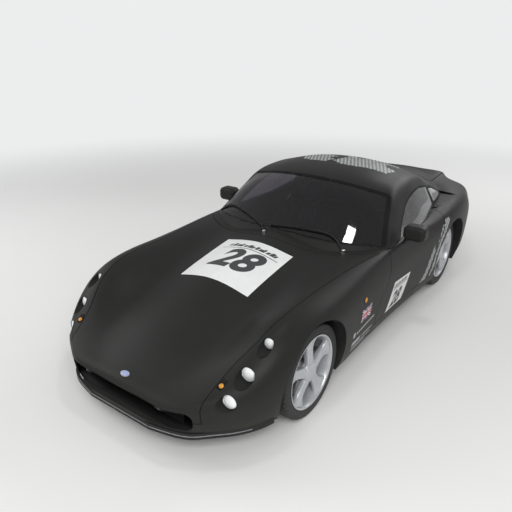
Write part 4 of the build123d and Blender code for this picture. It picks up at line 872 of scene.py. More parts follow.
# %% Roof chequer
ROOF_PIECES = [
    [(-0.44, 0.62), (-0.36, 0.50), (-0.30, 0.36), (-0.17, 0.31), (-0.05, 0.31), (-0.02, 0.42),
     (-0.10, 0.47), (-0.04, 0.55), (-0.13, 0.58), (-0.16, 0.72), (-0.24, 0.66), (-0.30, 0.78),
     (-0.36, 0.70)],
    [(0.00, 0.37), (0.10, 0.31), (0.20, 0.32), (0.36, 0.39), (0.46, 0.41), (0.49, 0.57), (0.40, 0.58),
     (0.35, 0.68), (0.44, 0.76), (0.40, 0.86), (0.28, 0.76), (0.22, 0.87), (0.17, 0.70), (0.10, 0.60),
     (0.05, 0.86), (-0.01, 0.72), (0.03, 0.56)],
]
chequered("roof", ROOF_PIECES, above, (0, 0, -1), ["roof", "windscreen_frame", "rear_body"], "body")

# %% Flank chequer, on both sides
FLANK_PIECES = [
    [(0.33, 0.21), (0.42, 0.25), (0.50, 0.33), (0.58, 0.50), (0.625, 0.56), (0.64, 0.47), (0.60, 0.35),
     (0.53, 0.24), (0.47, 0.25), (0.43, 0.19)],
    [(0.56, 0.20), (0.61, 0.26), (0.655, 0.40), (0.68, 0.54), (0.74, 0.655), (0.86, 0.715),
     (0.93, 0.715), (0.92, 0.685), (0.84, 0.625), (0.765, 0.53), (0.715, 0.42), (0.69, 0.30),
     (0.63, 0.24)],
]


def beside(sign):
    return lambda u, v: (sign * 2.0, u, v)


for side, sign in SIDES.items():
    door = f"door_{side}"
    chequered(f"flank_{side}", FLANK_PIECES, beside(sign), (-sign, 0, 0), ["rear_body"], "body",
              pitch=0.016, lean=0.9, behind=[door])
    chequered(f"flank_{door}", FLANK_PIECES, beside(sign), (-sign, 0, 0), [door], door,
              pitch=0.016, lean=0.9)
print("chequers laid on roof and flanks")

# %% [markdown]
# ## Door numbers, flags and bars
# The doors repeat the number on a leaning panel. Behind each front wheel are a small flag
# and pale bars where lettering would stand. Side stickers ride on the panel under them.


# %% Door panels and wing stickers
def side_sticker(name, flat, side, onto, material, body, layers=1, cell=CELL):
    sign = SIDES[side]
    return sticker(name, flat, beside(sign), (-sign, 0, 0), onto, material, body,
                   lift=layers * STICKER_LIFT, cell=cell)


DOOR_PANEL = [(-0.25, 0.259), (0.048, 0.262), (0.147, 0.466), (-0.157, 0.486)]
for side, sign in SIDES.items():
    door = f"door_{side}"
    side_sticker(f"{door}_panel", filled([DOOR_PANEL]), side, [door], panel_white, door)
    number = digits(NUMBER, 0.125, (0, 0), slant=0.3)
    for vertex in number.verts:
        u, v = vertex.co.x * sign, vertex.co.y
        vertex.co.x, vertex.co.y = -0.085 + u + (0.25 * v if sign > 0 else 0), 0.335 + v
    side_sticker(f"{door}_number", number, side, [door], panel_dark, door, 2)
    bars = [bar(u, 0.432, u + 0.018, 0.452 + 0.008 * (i % 2), 0.006)
            for i, u in enumerate(0.028 * k - 0.155 for k in range(9))]
    bars.append(bar(-0.165, 0.418, 0.10, 0.424))
    side_sticker(f"{door}_title_bars", filled(bars), side, [door], panel_dark, door, 2)

# %% Flag on each front wing
FLAG_LOW, FLAG_HIGH = (-0.735, 0.405), (-0.575, 0.495)


def flag_part(outline):
    """From flag units, 0 to 2 along and 0 to 1 up, to the wing's side."""
    wide = (FLAG_HIGH[0] - FLAG_LOW[0]) / 2
    high = FLAG_HIGH[1] - FLAG_LOW[1]
    return [(FLAG_LOW[0] + u * wide + 0.10 * v * wide, FLAG_LOW[1] + v * high) for u, v in outline]


def diagonal(wide):
    """Both diagonals of the flag as one pair of crossing strips."""
    w = wide / 2
    return [[(0, 0), (2 * w, 0), (2, 1 - w), (2, 1), (2 - 2 * w, 1), (0, w)],
            [(2, 0), (2, w), (2 * w, 1), (0, 1), (0, 1 - w), (2 - 2 * w, 0)]]


def upright(wide):
    w = wide / 2
    return [[(1 - w, 0), (1 + w, 0), (1 + w, 1), (1 - w, 1)], [(0, 0.5 - w), (2, 0.5 - w), (2, 0.5 + w),
                                                              (0, 0.5 + w)]]


FLAG_LAYERS = [("field", [[(0, 0), (2, 0), (2, 1), (0, 1)]], vinyl_blue),
               ("saltire", diagonal(0.22), panel_white), ("thin_saltire", diagonal(0.08), vinyl_red),
               ("cross_edge", upright(0.34), panel_white), ("cross", upright(0.20), vinyl_red)]
for side in SIDES:
    for layer, (label, parts, material) in enumerate(FLAG_LAYERS, 1):
        for index, part in enumerate(parts):
            side_sticker(f"flag_{side}_{label}_{index}", filled([flag_part(part)]), side, ["front_body"],
                         material, "body", layer, cell=0.04)

# %% Pale bars below each flag
WING_BARS = [bar(-0.825, 0.325, -0.795, 0.365)]
WING_BARS += [bar(-0.775 + 0.032 * k, 0.332 + 0.002 * k, -0.753 + 0.032 * k, 0.350 + 0.002 * k, 0.006)
              for k in range(9)]
WING_BARS += [bar(-0.83, 0.262, -0.70, 0.287, 0.01), bar(-0.67, 0.268, -0.50, 0.278, 0.01),
              bar(-0.83, 0.238, -0.52, 0.246, 0.01), bar(-0.82, 0.216, -0.60, 0.224, 0.01)]
for side in SIDES:
    side_sticker(f"wing_bars_{side}", filled(WING_BARS), side, ["front_body"], vinyl_grey, "body")
print("door panels, flags and bars laid")

# %% [markdown]
# ## Lamps
# Each headlamp sits deep in its own scoop: a black bezel, a thin bright ring and a domed lens with
# fine upright flutes. The lens is painted near white, a painted reflection of a lit reflector behind
# clear glass. The CAD's lamp solids give each lens its place and radius, and everything is
# turned round the lamp's own axis. The small amber lamps are plain domes in a ring.


# %% Helper: separate solids of a node
def islands(node):
    """The separate solids of a node, each as a list of points."""
    mesh = bmesh.new()
    mesh.from_mesh(nodes[node].data)
    bmesh.ops.remove_doubles(mesh, verts=mesh.verts, dist=1e-5)
    left = set(mesh.verts)
    groups = []
    for seed in mesh.verts:
        if seed not in left:
            continue
        left.remove(seed)
        todo = [seed]
        points = []
        while todo:
            vertex = todo.pop()
            points.append(vertex.co.copy())
            for edge in vertex.link_edges:
                other = edge.other_vert(vertex)
                if other in left:
                    left.remove(other)
                    todo.append(other)
        groups.append(points)
    mesh.free()
    return groups


def from_left(groups):
    """Groups of points in order from the car's left to its right, so that numbers stay the same."""
    return sorted(groups, key=lambda group: -sum(p.x for p in group) / len(group))


def lathe(mesh, profile, segments, centre, axis):
    """Turns (radius, along) points round an axis of any direction; a zero radius closes it."""
    axis = Vector(axis).normalized()
    side = axis.cross(Vector((0, 0, 1)))
    side = side.normalized() if side.length > 1e-6 else Vector((1, 0, 0))
    up = side.cross(axis)
    rings = [[Vector(centre) + axis * along + (side * cos(2 * pi * i / segments)
              + up * sin(2 * pi * i / segments)) * radius for i in range(segments)]
             for radius, along in profile]
    skin_rings(mesh, rings)
    return mesh


def lathe_piece(name, profile, centre, axis, material, body, segments=48, hides=()):
    mesh = lathe(bmesh.new(), profile, segments, centre, axis)
    piece = new_piece(name, tidy_normals(mesh), material, body, hides)
    piece.data.set_sharp_from_angle(angle=radians(40))
    return piece


# %% Headlamps
LAMP_TOE = radians(6)
DOME = 0.012
LENS_RINGS = 22
FLUTE_PITCH = 0.007
FLUTE_DEPTH = 0.0007


def lens_mesh(centre, axis, radius):
    """A domed lens with upright flutes pressed into it."""
    mesh = lathe(bmesh.new(), [(radius * k / LENS_RINGS, 0) for k in range(LENS_RINGS, -1, -1)],
                 112, centre, axis)
    side = axis.cross(Vector((0, 0, 1))).normalized()
    for vertex in mesh.verts:
        away = vertex.co - centre
        share = away.length / radius
        across = away.dot(side)
        rise = DOME * (1 - share ** 2.4) + FLUTE_DEPTH * cos(2 * pi * across / FLUTE_PITCH) * (share < 0.97)
        vertex.co += axis * rise
    return tidy_normals(mesh)


front_to_rear = sorted(islands("headlamps"), key=lambda group: (group[0].x > 0, min(p.y for p in group)))
for index, points in enumerate(front_to_rear):
    sign = 1 if points[0].x > 0 else -1
    axis = Vector((sign * sin(LAMP_TOE), -cos(LAMP_TOE), 0))
    front = max(p.dot(axis) for p in points)
    face = [p for p in points if p.dot(axis) > front - 0.002]
    centre = sum(face, Vector()) / len(face)
    radius = max((p - centre).length for p in face)
    label = f"headlamp_{'left' if sign > 0 else 'right'}_{index % 3}"
    lens = radius * 0.90
    lathe_piece(f"{label}_bezel", [(radius, -0.035), (radius, 0.001), (radius - 0.001, 0.003),
                                   (radius - 0.0025, 0.003), (lens + 0.0015, -0.004),
                                   (lens + 0.0015, -0.012)],
                centre, axis, moulded_black, "body", hides=["headlamps"])
    lathe_piece(f"{label}_ring", [(lens + 0.0014, -0.006), (lens + 0.0014, -0.001), (lens + 0.0004, 0.0004),
                                  (lens - 0.0012, -0.0006), (lens - 0.0012, -0.006)], centre, axis,
                bright_chrome, "body")
    # The lens's near-white colour is a painted reflection, not light from the lamp.
    new_piece(f"{label}_lens", lens_mesh(centre - axis * 0.003, axis, lens), lens_painted_reflection, "body")
print("headlamps built")

# %% Amber lamps
REPEATER_RADIUS, INDICATOR_RADIUS = 0.0205, 0.0150
for points in islands("indicators"):
    middle = sum(points, Vector()) / len(points)
    sign = 1 if middle.x > 0 else -1
    side = "left" if sign > 0 else "right"
    repeater = middle.y > -1.2
    outward = Vector((sign, 0, 0.1)) if repeater else Vector((sign * 0.17, -0.75, 0.60))
    place, normal = met(["indicators"], middle + outward.normalized() * 0.3, -outward)
    radius = REPEATER_RADIUS if repeater else INDICATOR_RADIUS
    label = f"{'repeater' if repeater else 'indicator'}_{side}"
    lathe_piece(f"{label}_ring", [(radius + 0.0035, -0.010), (radius + 0.0035, 0.001),
                                  (radius + 0.001, 0.0028), (radius - 0.001, 0.001)], place, normal,
                moulded_black, "body", hides=["indicators"])
    dome = [(radius * sin(radians(a)), 0.0075 * cos(radians(a)) - 0.0005) for a in range(90, -1, -10)]
    lathe_piece(f"{label}_lens", dome, place, normal, amber_lens, "body")
print("amber lamps built")

# %% [markdown]
# ## Seals round the glass
# Each pane is framed by a black rubber seal. The edge of the pane's outer face is found in the
# CAD mesh and walked round. A strip is then laid along it, a little on the panel and the rest on
# the glass. It is wide at the pillars and narrow along the base of the screen.


# %% Helper: the loop round a pane
def pane_loops(node, outward, least=0.25):
    """Closed loops of places round the outer faces of a pane, from the car's left to its right."""
    mesh = bmesh.new()
    mesh.from_mesh(nodes[node].data)
    bmesh.ops.remove_doubles(mesh, verts=mesh.verts, dist=1e-5)
    outer = {f for f in mesh.faces if f.normal.dot(outward(f.calc_center_median())) > least}
    rim = {}
    for edge in mesh.edges:
        mine = [f for f in edge.link_faces if f in outer]
        if len(edge.link_faces) == 2 and len(mine) == 1:
            for vertex in edge.verts:
                rim.setdefault(vertex, []).append(edge.other_vert(vertex))
    loops = []
    left = set(rim)
    for start in rim:
        if start not in left:
            continue
        left.remove(start)
        loop, vertex = [start], start
        while True:
            steps = [v for v in rim[vertex] if v in left]
            if not steps:
                break
            vertex = steps[0]
            left.discard(vertex)
            loop.append(vertex)
        if len(loop) > 12:
            loops.append([v.co.copy() for v in loop])
    mesh.free()
    return from_left(loops)


def evenly(points, step):
    """The same closed run with points a step apart."""
    run = [p.copy() for p in points] + [points[0].copy()]
    out, carry = [], 0.0
    for a, b in zip(run, run[1:]):
        length = (b - a).length
        while carry < length:
            out.append(a.lerp(b, carry / length))
            carry += step
        carry -= length
    return out


def seal(name, node, direction, width_at, body, onto, step=0.012, numbers=range(9)):
    """A flat strip round each pane of a node, laid along a line of sight onto glass and panel.

    The strips of one call are named with the given numbers, in order from the car's left."""
    aim = Vector(direction).normalized()
    right = aim.cross(Vector((0, 0, 1))).normalized()
    up = right.cross(aim)
    sign = 1 if aim.x == 0 else -aim.x
    loops = [loop for loop in pane_loops(node, lambda p: -aim) if not (aim.x and loop[0].x * sign < 0)]
    for number, loop in zip(numbers, loops):
        points = evenly(loop, step)
        depth = sum(p.dot(aim) for p in points) / len(points)
        flat = [Vector((p.dot(right), p.dot(up))) for p in points]
        count = len(flat)
        turn = sum(a.x * b.y - b.x * a.y for a, b in zip(flat, flat[1:] + flat[:1]))
        rings = []
        for i, point in enumerate(flat):
            along = (flat[(i + 2) % count] - flat[i - 2]).normalized()
            inward = Vector((-along.y, along.x)) * (1 if turn > 0 else -1)
            width = width_at(points[i])
            rings.append([(*(point + inward * share), 0) for share in (-0.005, 0.0, width * 0.5, width)])
        mesh = bmesh.new()
        skin_rings(mesh, rings, closed_ring=False, closed_run=True)
        sticker(f"{name}_{number}", mesh, lambda u, v, d=depth: right * u + up * v + aim * d, aim, onto,
                 seal_rubber, body, lift=0.0012, cell=10.0)
    print(name, len(loops), "loops")


# %% Seals
def screen_width(point):
    """Narrow along the base, wide at the pillars and the header."""
    return 0.012 if point.y < -0.22 else 0.026


seal("windscreen_seal", "windscreen", (0, 0.62, -0.78), screen_width, "body",
     ["windscreen", "windscreen_frame"])
seal("rear_seal", "rear_glass", (0, -0.3, -0.9), lambda p: 0.014, "body", ["rear_glass", "rear_body", "roof"])
QUARTER_NUMBERS = {"left": (0, 1), "right": (0, 3)}
for side, sign in SIDES.items():
    seal(f"quarter_seal_{side}", "rear_glass", (-sign, 0, 0), lambda p: 0.012, "body",
         ["rear_glass", "rear_body"], numbers=QUARTER_NUMBERS[side])
    seal(f"door_glass_seal_{side}", f"door_glass_{side}", (-sign, 0, 0), lambda p: 0.008, f"door_{side}",
         [f"door_glass_{side}"])

# %% Black struts behind the doors
STRUT = [(0.872, 0.768), (0.985, 0.768), (0.968, 0.868), (0.955, 0.955), (0.915, 0.985), (0.885, 0.90)]
for side in SIDES:
    side_sticker(f"strut_{side}", filled([STRUT]), side, ["rear_body", "door_frames"], moulded_black,
                 "body", 2)

# %% [markdown]
# ## Wipers
# Two sprung arms lie parked at the foot of the screen. Each has a bright cap on its pivot, an arm
# that bends once, and a thin rubber blade on a carrier. They are laid just above the glass.


# %% Wipers
WIPERS = {"left": [(0.554, -0.445), (0.415, -0.389), (0.20, -0.415), (-0.08, -0.445)],
          "right": [(-0.08, -0.538), (-0.184, -0.453), (-0.40, -0.365), (-0.60, -0.285), (-0.745, -0.262)]}
scuttle = ["bonnet", "windscreen", "windscreen_frame", "front_body"]


def over(x, y, lift, onto=scuttle):
    """A point a little above the panels."""
    place, _ = met(onto, (x, y, 2), (0, 0, -1))
    return place + Vector((0, 0, lift))


def build_wiper(label, route):
    points = arc_run([over(*route[0], 0.016)] + [over(*p, 0.022) for p in route[1:]], 8)
    arm = bmesh.new()
    tube_into(arm, points[:14], 0.0055, 8)
    tube_into(arm, [p + Vector((0, 0, 0.003)) for p in points[10:-2]], 0.0035, 8)
    new_piece(f"wiper_arm_{label}", tidy_normals(arm), moulded_black, "body",
              hides=["wipers"])
    blade = bmesh.new()
    rings = []
    for point in points[7:]:
        rings.append([point + Vector((0, -0.0025, -0.004)), point + Vector((0, 0.0025, -0.004)),
                      point + Vector((0, 0.0012, -0.019)), point + Vector((0, -0.0012, -0.019))])
    skin_rings(blade, rings, caps=True)
    new_piece(f"wiper_blade_{label}", tidy_normals(blade), seal_rubber, "body")
    lathe_piece(f"wiper_pivot_{label}", [(0.013, -0.022), (0.013, 0.002), (0.010, 0.0055), (0.004, 0.007),
                                         (0.0, 0.0072)], points[0], (0, 0, 1), bright_chrome, "body",
                24)


for label, route in WIPERS.items():
    build_wiper(label, route)
print("wipers built")

# %% [markdown]
# ## Nose: badge, mouth and splitter
# A plain oval badge sits above the mouth. The mouth is closed by a black wire mesh in front of
# the radiator, and the splitter below it has a thin bare leading edge that catches the light. A tray
# of the darkest rubber floors the mouth as painted shade.

# %% Badge
NOSE_UP = Vector((0, 0.77, 0.64))
NOSE_IN = Vector((0, 0.64, -0.77))
badge_place = Vector((0, cad_low.y + 0.0765, 0.376))


def on_nose(u, v):
    return badge_place + Vector((u, 0, 0)) + NOSE_UP * v


def oval(wide, high, steps=40):
    return [(wide * cos(2 * pi * i / steps), high * sin(2 * pi * i / steps)) for i in range(steps)]


sticker("badge_rim", filled([oval(0.034, 0.019)]), on_nose, NOSE_IN, ["bonnet"], bright_chrome, "bonnet",
        lift=0.0012, cell=0.01)
sticker("badge", filled([oval(0.031, 0.016)]), on_nose, NOSE_IN, ["bonnet"], badge_enamel, "bonnet",
        lift=0.0018, cell=0.01)

# %% Mouth mesh
MESH_PITCH = 0.014
MESH_WIRE = 0.0016
mouth_y = cad_low.y + 0.115
mouth = bmesh.new()
for k in range(-30, 31):
    x = k * MESH_PITCH
    tube_into(mouth, [(x, mouth_y, 0.205), (x, mouth_y + 0.012, 0.335)], MESH_WIRE, 6)
for k in range(10):
    z = 0.207 + k * MESH_PITCH
    tube_into(mouth, [(-0.42, mouth_y + 0.1 * (z - 0.205) - 0.002, z),
                      (0.42, mouth_y + 0.1 * (z - 0.205) - 0.002, z)], MESH_WIRE, 6)
new_piece("mouth_mesh", tidy_normals(mouth), moulded_black, "body")

# %% Splitter edge
splitter_low, splitter_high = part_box("front_splitter")
edge_z = (splitter_low.z + splitter_high.z) / 2
edge = bmesh.new()
rings = []
for k in range(81):
    x = splitter_low.x * 0.93 + (splitter_high.x - splitter_low.x) * 0.93 * k / 80
    place, normal = met(["front_splitter"], (x, -3, edge_z), (0, 1, 0))
    if place is not None:
        flat = Vector((normal.x, normal.y, 0)).normalized()
        rings.append([place + flat * d + Vector((0, 0, h)) for d, h in
                      ((-0.0004, -0.0035), (0.0006, -0.0022), (0.0006, 0.0022), (-0.0004, 0.0035))])
skin_rings(edge, rings, closed_ring=False)
new_piece("splitter_edge", tidy_normals(edge), satin_steel, "body")

# %% Tray between splitter and floor, in the darkest rubber as painted shade
TRAY_Z, TRAY_REAR = 0.190, cad_low.y + 0.20
tray_rows = []
for k in range(41):
    x = -0.60 + 0.03 * k
    place, _ = met(["front_splitter"], (x, -3, edge_z), (0, 1, 0))
    front_y = place.y + 0.022
    tray_rows.append([(x, front_y, TRAY_Z - 0.004), (x, front_y, TRAY_Z), (x, TRAY_REAR, TRAY_Z + 0.012),
                      (x, TRAY_REAR, TRAY_Z + 0.008)])
tray = bmesh.new()
skin_rings(tray, tray_rows, caps=True)
# The darkest rubber keeps the lit floor of the mouth black: painted shade in the mouth.
new_piece("mouth_shade_tray", tidy_normals(tray), seal_rubber, "body")
print("nose pieces built, splitter edge sections:", len(rings))

# %% [markdown]
# ## Door mirrors
# The mirror's housing is the CAD's. A silvered plate in a thin dark frame faces rearwards.

# %% Mirror glass
for side, sign in SIDES.items():
    low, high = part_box(f"door_mirror_{side}")
    head = Vector((sign * max(abs(low.x), abs(high.x)) - sign * 0.085, high.y, high.z - 0.052))
    place, _ = met([f"door_mirror_{side}"], head + Vector((0, 0.3, 0)), (0, -1, 0))
    if place is None:
        continue
    outline = oval(0.062, 0.036, 48)
    for label, scale, lift, material in (("frame", 1.0, 0.0008, moulded_black),
                                         ("glass", 0.93, 0.0016, mirror_silver)):
        flat = filled([[(u * scale, v * scale) for u, v in outline]])
        sticker(f"mirror_{label}_{side}", flat, lambda u, v, p=place: (p.x + u, p.y + 0.3, p.z + v),
                (0, -1, 0), [f"door_mirror_{side}"], material, f"door_{side}", lift=lift, cell=0.015)
print("mirrors glazed")

# %% [markdown]
# ## Tail lamps
# Two round lamps a side: a black surround, a bright ring and a domed red lens.

# %% Tail lamps
for index, points in enumerate(from_left(islands("tail_lamps"))):
    back = max(p.y for p in points)
    middle = Vector(((min(p.x for p in points) + max(p.x for p in points)) / 2, back,
                     (min(p.z for p in points) + max(p.z for p in points)) / 2))
    radius = (max(p.z for p in points) - min(p.z for p in points)) / 2
    side = "left" if middle.x > 0 else "right"
    label = f"tail_lamp_{side}_{index}"
    middle.y = sum(p.y for p in points if p.y > back - 0.03) / len([p for p in points if p.y > back - 0.03])
    middle.y = min(middle.y, cad_high.y - 0.012)
    axis = Vector((0, 1, 0))
    lens = radius - 0.007
    lathe_piece(f"{label}_surround", [(radius, -0.05), (radius, 0.003), (radius - 0.002, 0.005),
                                      (lens + 0.002, 0.003), (lens + 0.002, -0.010)], middle, axis,
                moulded_black, "body", hides=["tail_lamps"])
    lathe_piece(f"{label}_ring", [(lens + 0.002, -0.004), (lens + 0.002, 0.0035), (lens, 0.0045),
                                  (lens - 0.002, 0.003), (lens - 0.002, -0.004)], middle, axis,
                bright_chrome, "body")
    dome = [(lens * sin(radians(a)), 0.007 * cos(radians(a)) + 0.0005) for a in range(90, -1, -6)]
    lathe_piece(f"{label}_lens", dome, middle, axis, red_lens, "body")
print("tail lamps built")

# %% [markdown]
# ## Seats
# A racing bucket has a hard moulded shell that carries five pads of black cloth: one to sit on,
# one for the back, one for the head and a deep bolster down each side. The pads are real soft
# goods. Each starts a little small, is remeshed into an even skin, and is blown up by Blender's
# cloth solver with a gentle pressure. How far a point may move is capped, and the sewn channels
# are pressed in afterwards, because a remesh would rub them out.


# %% Helper: a slab cut to a side outline
def slab(outline, low_x, high_x):
    """A closed slab with a (y, z) outline, from low_x to high_x."""
    mesh = bmesh.new()
    skin_rings(mesh, [[(x, y, z) for y, z in outline] for x in (low_x, high_x)], caps=True)
    return tidy_normals(mesh)


VOXEL = 0.006
PAD_ROUND = 0.012
PRESSURE = 4.0
FRAMES = 20


def stuffed(mesh, cap):
    """Blows a closed mesh up like a cushion and returns the finished mesh."""
    data = bpy.data.meshes.new("stuffed")
    mesh.to_mesh(data)
    mesh.free()
    holder = bpy.data.objects.new("stuffed", data)
    bpy.context.scene.collection.objects.link(holder)
    bevel = holder.modifiers.new("bevel", "BEVEL")
    bevel.width, bevel.segments = PAD_ROUND, 3
    remesh = holder.modifiers.new("remesh", "REMESH")
    remesh.mode, remesh.voxel_size = "VOXEL", VOXEL
    graph = bpy.context.evaluated_depsgraph_get()
    start = bpy.data.meshes.new_from_object(holder.evaluated_get(graph))
    holder.modifiers.clear()
    holder.data = start
    before = [v.co.copy() for v in start.vertices]
    cloth_modifier = holder.modifiers.new("cloth", "CLOTH")
    settings = cloth_modifier.settings
    settings.use_pressure = True
    settings.uniform_pressure_force = PRESSURE
    settings.effector_weights.gravity = 0
    settings.quality = 4
    cloth_modifier.point_cache.frame_start = 1
    cloth_modifier.point_cache.frame_end = FRAMES
    for frame_number in range(1, FRAMES + 1):
        bpy.context.scene.frame_set(frame_number)
    graph = bpy.context.evaluated_depsgraph_get()
    blown = bpy.data.meshes.new_from_object(holder.evaluated_get(graph))
    bpy.context.scene.frame_set(1)
    for vertex, old in zip(blown.vertices, before):
        move = vertex.co - old
        vertex.co = old + move * min(1.0, cap / max(move.length, 1e-9))
    bpy.data.objects.remove(holder)
    return blown


def press_channels(data, lines, depth=0.004, spread=0.006):
    """Sewn channels: the skin sinks along lines of constant x."""
    moves = []
    for vertex in data.vertices:
        sink = sum(2.718 ** (-((vertex.co.x - line) / spread) ** 2) for line in lines)
        moves.append(vertex.normal * -depth * sink)
    for vertex, move in zip(data.vertices, moves):
        vertex.co += move


# %% Pads
cad_seat_low, cad_seat_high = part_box("seats")
SEAT_FRONT, SEAT_BASE = cad_seat_low.y, cad_seat_low.z
SEAT_HALF_WIDTH = 0.235
SEAT_X = cad_seat_high.x - SEAT_HALF_WIDTH
HALF_PAD = 0.180
# outlines in metres behind the seat's front edge and above its base
CUSHION = [(0.031, 0.062), (0.026, 0.122), (0.086, 0.149), (0.396, 0.107), (0.404, 0.062)]
BACK = [(0.424, 0.140), (0.552, 0.515), (0.612, 0.505), (0.532, 0.240), (0.486, 0.118)]
HEAD = [(0.566, 0.545), (0.604, 0.672), (0.648, 0.668), (0.622, 0.540)]
BOLSTER = [(0.045, 0.030), (0.045, 0.178), (0.345, 0.218), (0.510, 0.508), (0.612, 0.508), (0.532, 0.030)]
BUCKET = [(0.050, 0.002), (0.050, 0.052), (0.410, 0.052), (0.492, 0.108), (0.541, 0.240), (0.620, 0.500),
          (0.655, 0.685), (0.661, 0.685), (0.628, 0.480), (0.538, 0.002)]


def at_seat(outline):
    return [(SEAT_FRONT + y, SEAT_BASE + z) for y, z in outline]


pads = {"cushion": (CUSHION, -HALF_PAD, HALF_PAD, 0.016, (-0.11, -0.04, 0.04, 0.11)),
        "back": (BACK, -HALF_PAD, HALF_PAD, 0.016, (-0.11, -0.04, 0.04, 0.11)),
        "head": (HEAD, -0.115, 0.115, 0.010, ()),
        "bolster_in": (BOLSTER, -0.228, -HALF_PAD - 0.008, 0.006, ()),
        "bolster_out": (BOLSTER, HALF_PAD + 0.008, 0.228, 0.006, ())}
for label, (outline, low_x, high_x, cap, lines) in pads.items():
    blown = stuffed(slab(at_seat(outline), low_x, high_x), cap)
    press_channels(blown, lines)
    for side, sign in SIDES.items():
        data = blown.copy()
        for vertex in data.vertices:
            vertex.co.x += sign * SEAT_X
        piece = new_piece(f"seat_{label}_{side}", data, seat_cloth, "body", hides=["seats"])
        if not label.startswith("bolster"):
            subdivide(piece, 1)
    print("pad", label, "points", len(blown.vertices))

# %% Moulded buckets
for side, sign in SIDES.items():
    shell = slab(at_seat(BUCKET), sign * SEAT_X - HALF_PAD + 0.004, sign * SEAT_X + HALF_PAD - 0.004)
    round_edges(new_piece(f"seat_shell_{side}", shell, moulded_black, "body"), 0.004, 3)



# %% Harness
def strap(mesh, points, across, width=0.048, thick=0.0022):
    """A flat strap along a run of points."""
    run = arc_run(points, 6)
    rings = []
    for i, point in enumerate(run):
        along = (run[min(i + 1, len(run) - 1)] - run[max(i - 1, 0)]).normalized()
        up = along.cross(Vector(across)).normalized()
        half = Vector(across).normalized() * width / 2
        rings.append([point - half - up * thick / 2, point + half - up * thick / 2,
                      point + half + up * thick / 2, point - half + up * thick / 2])
    skin_rings(mesh, rings, caps=True)


for side, sign in SIDES.items():
    x = sign * SEAT_X
    belts = bmesh.new()
    for across in (-0.07, 0.07):
        strap(belts, [(x + across, SEAT_FRONT + y, SEAT_BASE + z) for y, z in
                      ((0.690, 0.380), (0.640, 0.522), (0.575, 0.530), (0.520, 0.470), (0.440, 0.260),
                       (0.370, 0.158))], (1, 0, 0))
    buckle_y, buckle_z = SEAT_FRONT + 0.345, SEAT_BASE + 0.150
    for way in (-1, 1):
        strap(belts, [(x + way * 0.165, SEAT_FRONT + 0.400, SEAT_BASE + 0.160),
                      (x + way * 0.10, SEAT_FRONT + 0.372, SEAT_BASE + 0.152),
                      (x + way * 0.02, buckle_y, buckle_z)], (0, 1, 0.1))
    new_piece(f"harness_{side}", tidy_normals(belts), belt_webbing, "body", smooth=False)
    lathe_piece(f"buckle_{side}", [(0.034, -0.004), (0.034, 0.004), (0.031, 0.008), (0.012, 0.009),
                                   (0.010, 0.011), (0.0, 0.012)], (x, buckle_y, buckle_z + 0.003),
                (0, -0.12, 1), satin_steel, "body", 32)
print("seats built")

# %% [markdown]
# ## Cabin
# Ahead of the driver three dials stand on the dashboard, and a gear lever on the tunnel.

# %% Dials and gear lever
wheel_box_low, wheel_box_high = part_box("steering_wheel")
_, dash_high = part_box("dashboard")
wheel_x = (wheel_box_low.x + wheel_box_high.x) / 2
DIALS = [(-0.085, 0.042), (0.0, 0.050), (0.085, 0.042)]
for number, (offset, radius) in enumerate(DIALS):
    place, _ = met(["dashboard"], (wheel_x + offset, dash_high.y + 0.3, dash_high.z - 0.065), (0, -1, 0))
    if place is None:
        continue
    lathe_piece(f"dial_{number}", [(radius, -0.004), (radius, 0.010), (radius - 0.003, 0.013),
                                   (radius - 0.006, 0.010), (radius - 0.006, 0.004), (0.0, 0.004)],
                place, (0, 1, 0.2), bright_chrome, "body", 40)
    lathe_piece(f"dial_face_{number}", [(radius - 0.007, 0.0045), (radius - 0.009, 0.0052), (0.0, 0.0052)],
                place, (0, 1, 0.2), panel_dark, "body", 40)
lever_y = SEAT_FRONT - 0.04
lever = bmesh.new()
lever_foot, _ = met(["transmission_tunnel"], (0, lever_y, 2), (0, 0, -1))
lever_points = [lever_foot + Vector(p) for p in ((0, 0, -0.004), (0, 0.01, 0.08), (0, 0.03, 0.16))]
tube_into(lever, arc_run(lever_points, 6), 0.007, 12)
new_piece("gear_lever", tidy_normals(lever), satin_steel, "body")
lathe_piece("gear_knob", [(0.010, -0.012), (0.021, 0.004), (0.025, 0.020), (0.020, 0.036), (0.010, 0.043),
                          (0.0, 0.045)], lever_points[-1], (0, 0.25, 1), hide_black, "body",
            32)
lathe_piece("gear_boot", [(0.062, 0.0005), (0.056, 0.008), (0.044, 0.014), (0.040, 0.022), (0.030, 0.028),
                          (0.026, 0.040), (0.014, 0.050), (0.009, 0.062)], lever_foot, (0, 0.05, 1),
            hide_black, "body", 32)
print("cabin pieces built")

# %% [markdown]
# ## Engine bay
# Under the bonnet the engine's block carries two ribbed cam covers held by bolts, intake runners
# that curve up into a plenum between them, and a pulley in front. The radiator gets its tanks and fins.

# %% Cam covers and plenum
engine_low, engine_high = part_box("engine")
COVER_X, COVER_HALF, COVER_HIGH = 0.118, 0.056, 0.044
COVER_FRONT, COVER_REAR = engine_low.y + 0.035, engine_high.y - 0.035
COVER_RIBS = COVER_BOLTS = 5
RUNNERS = 6
engine_top = engine_high.z


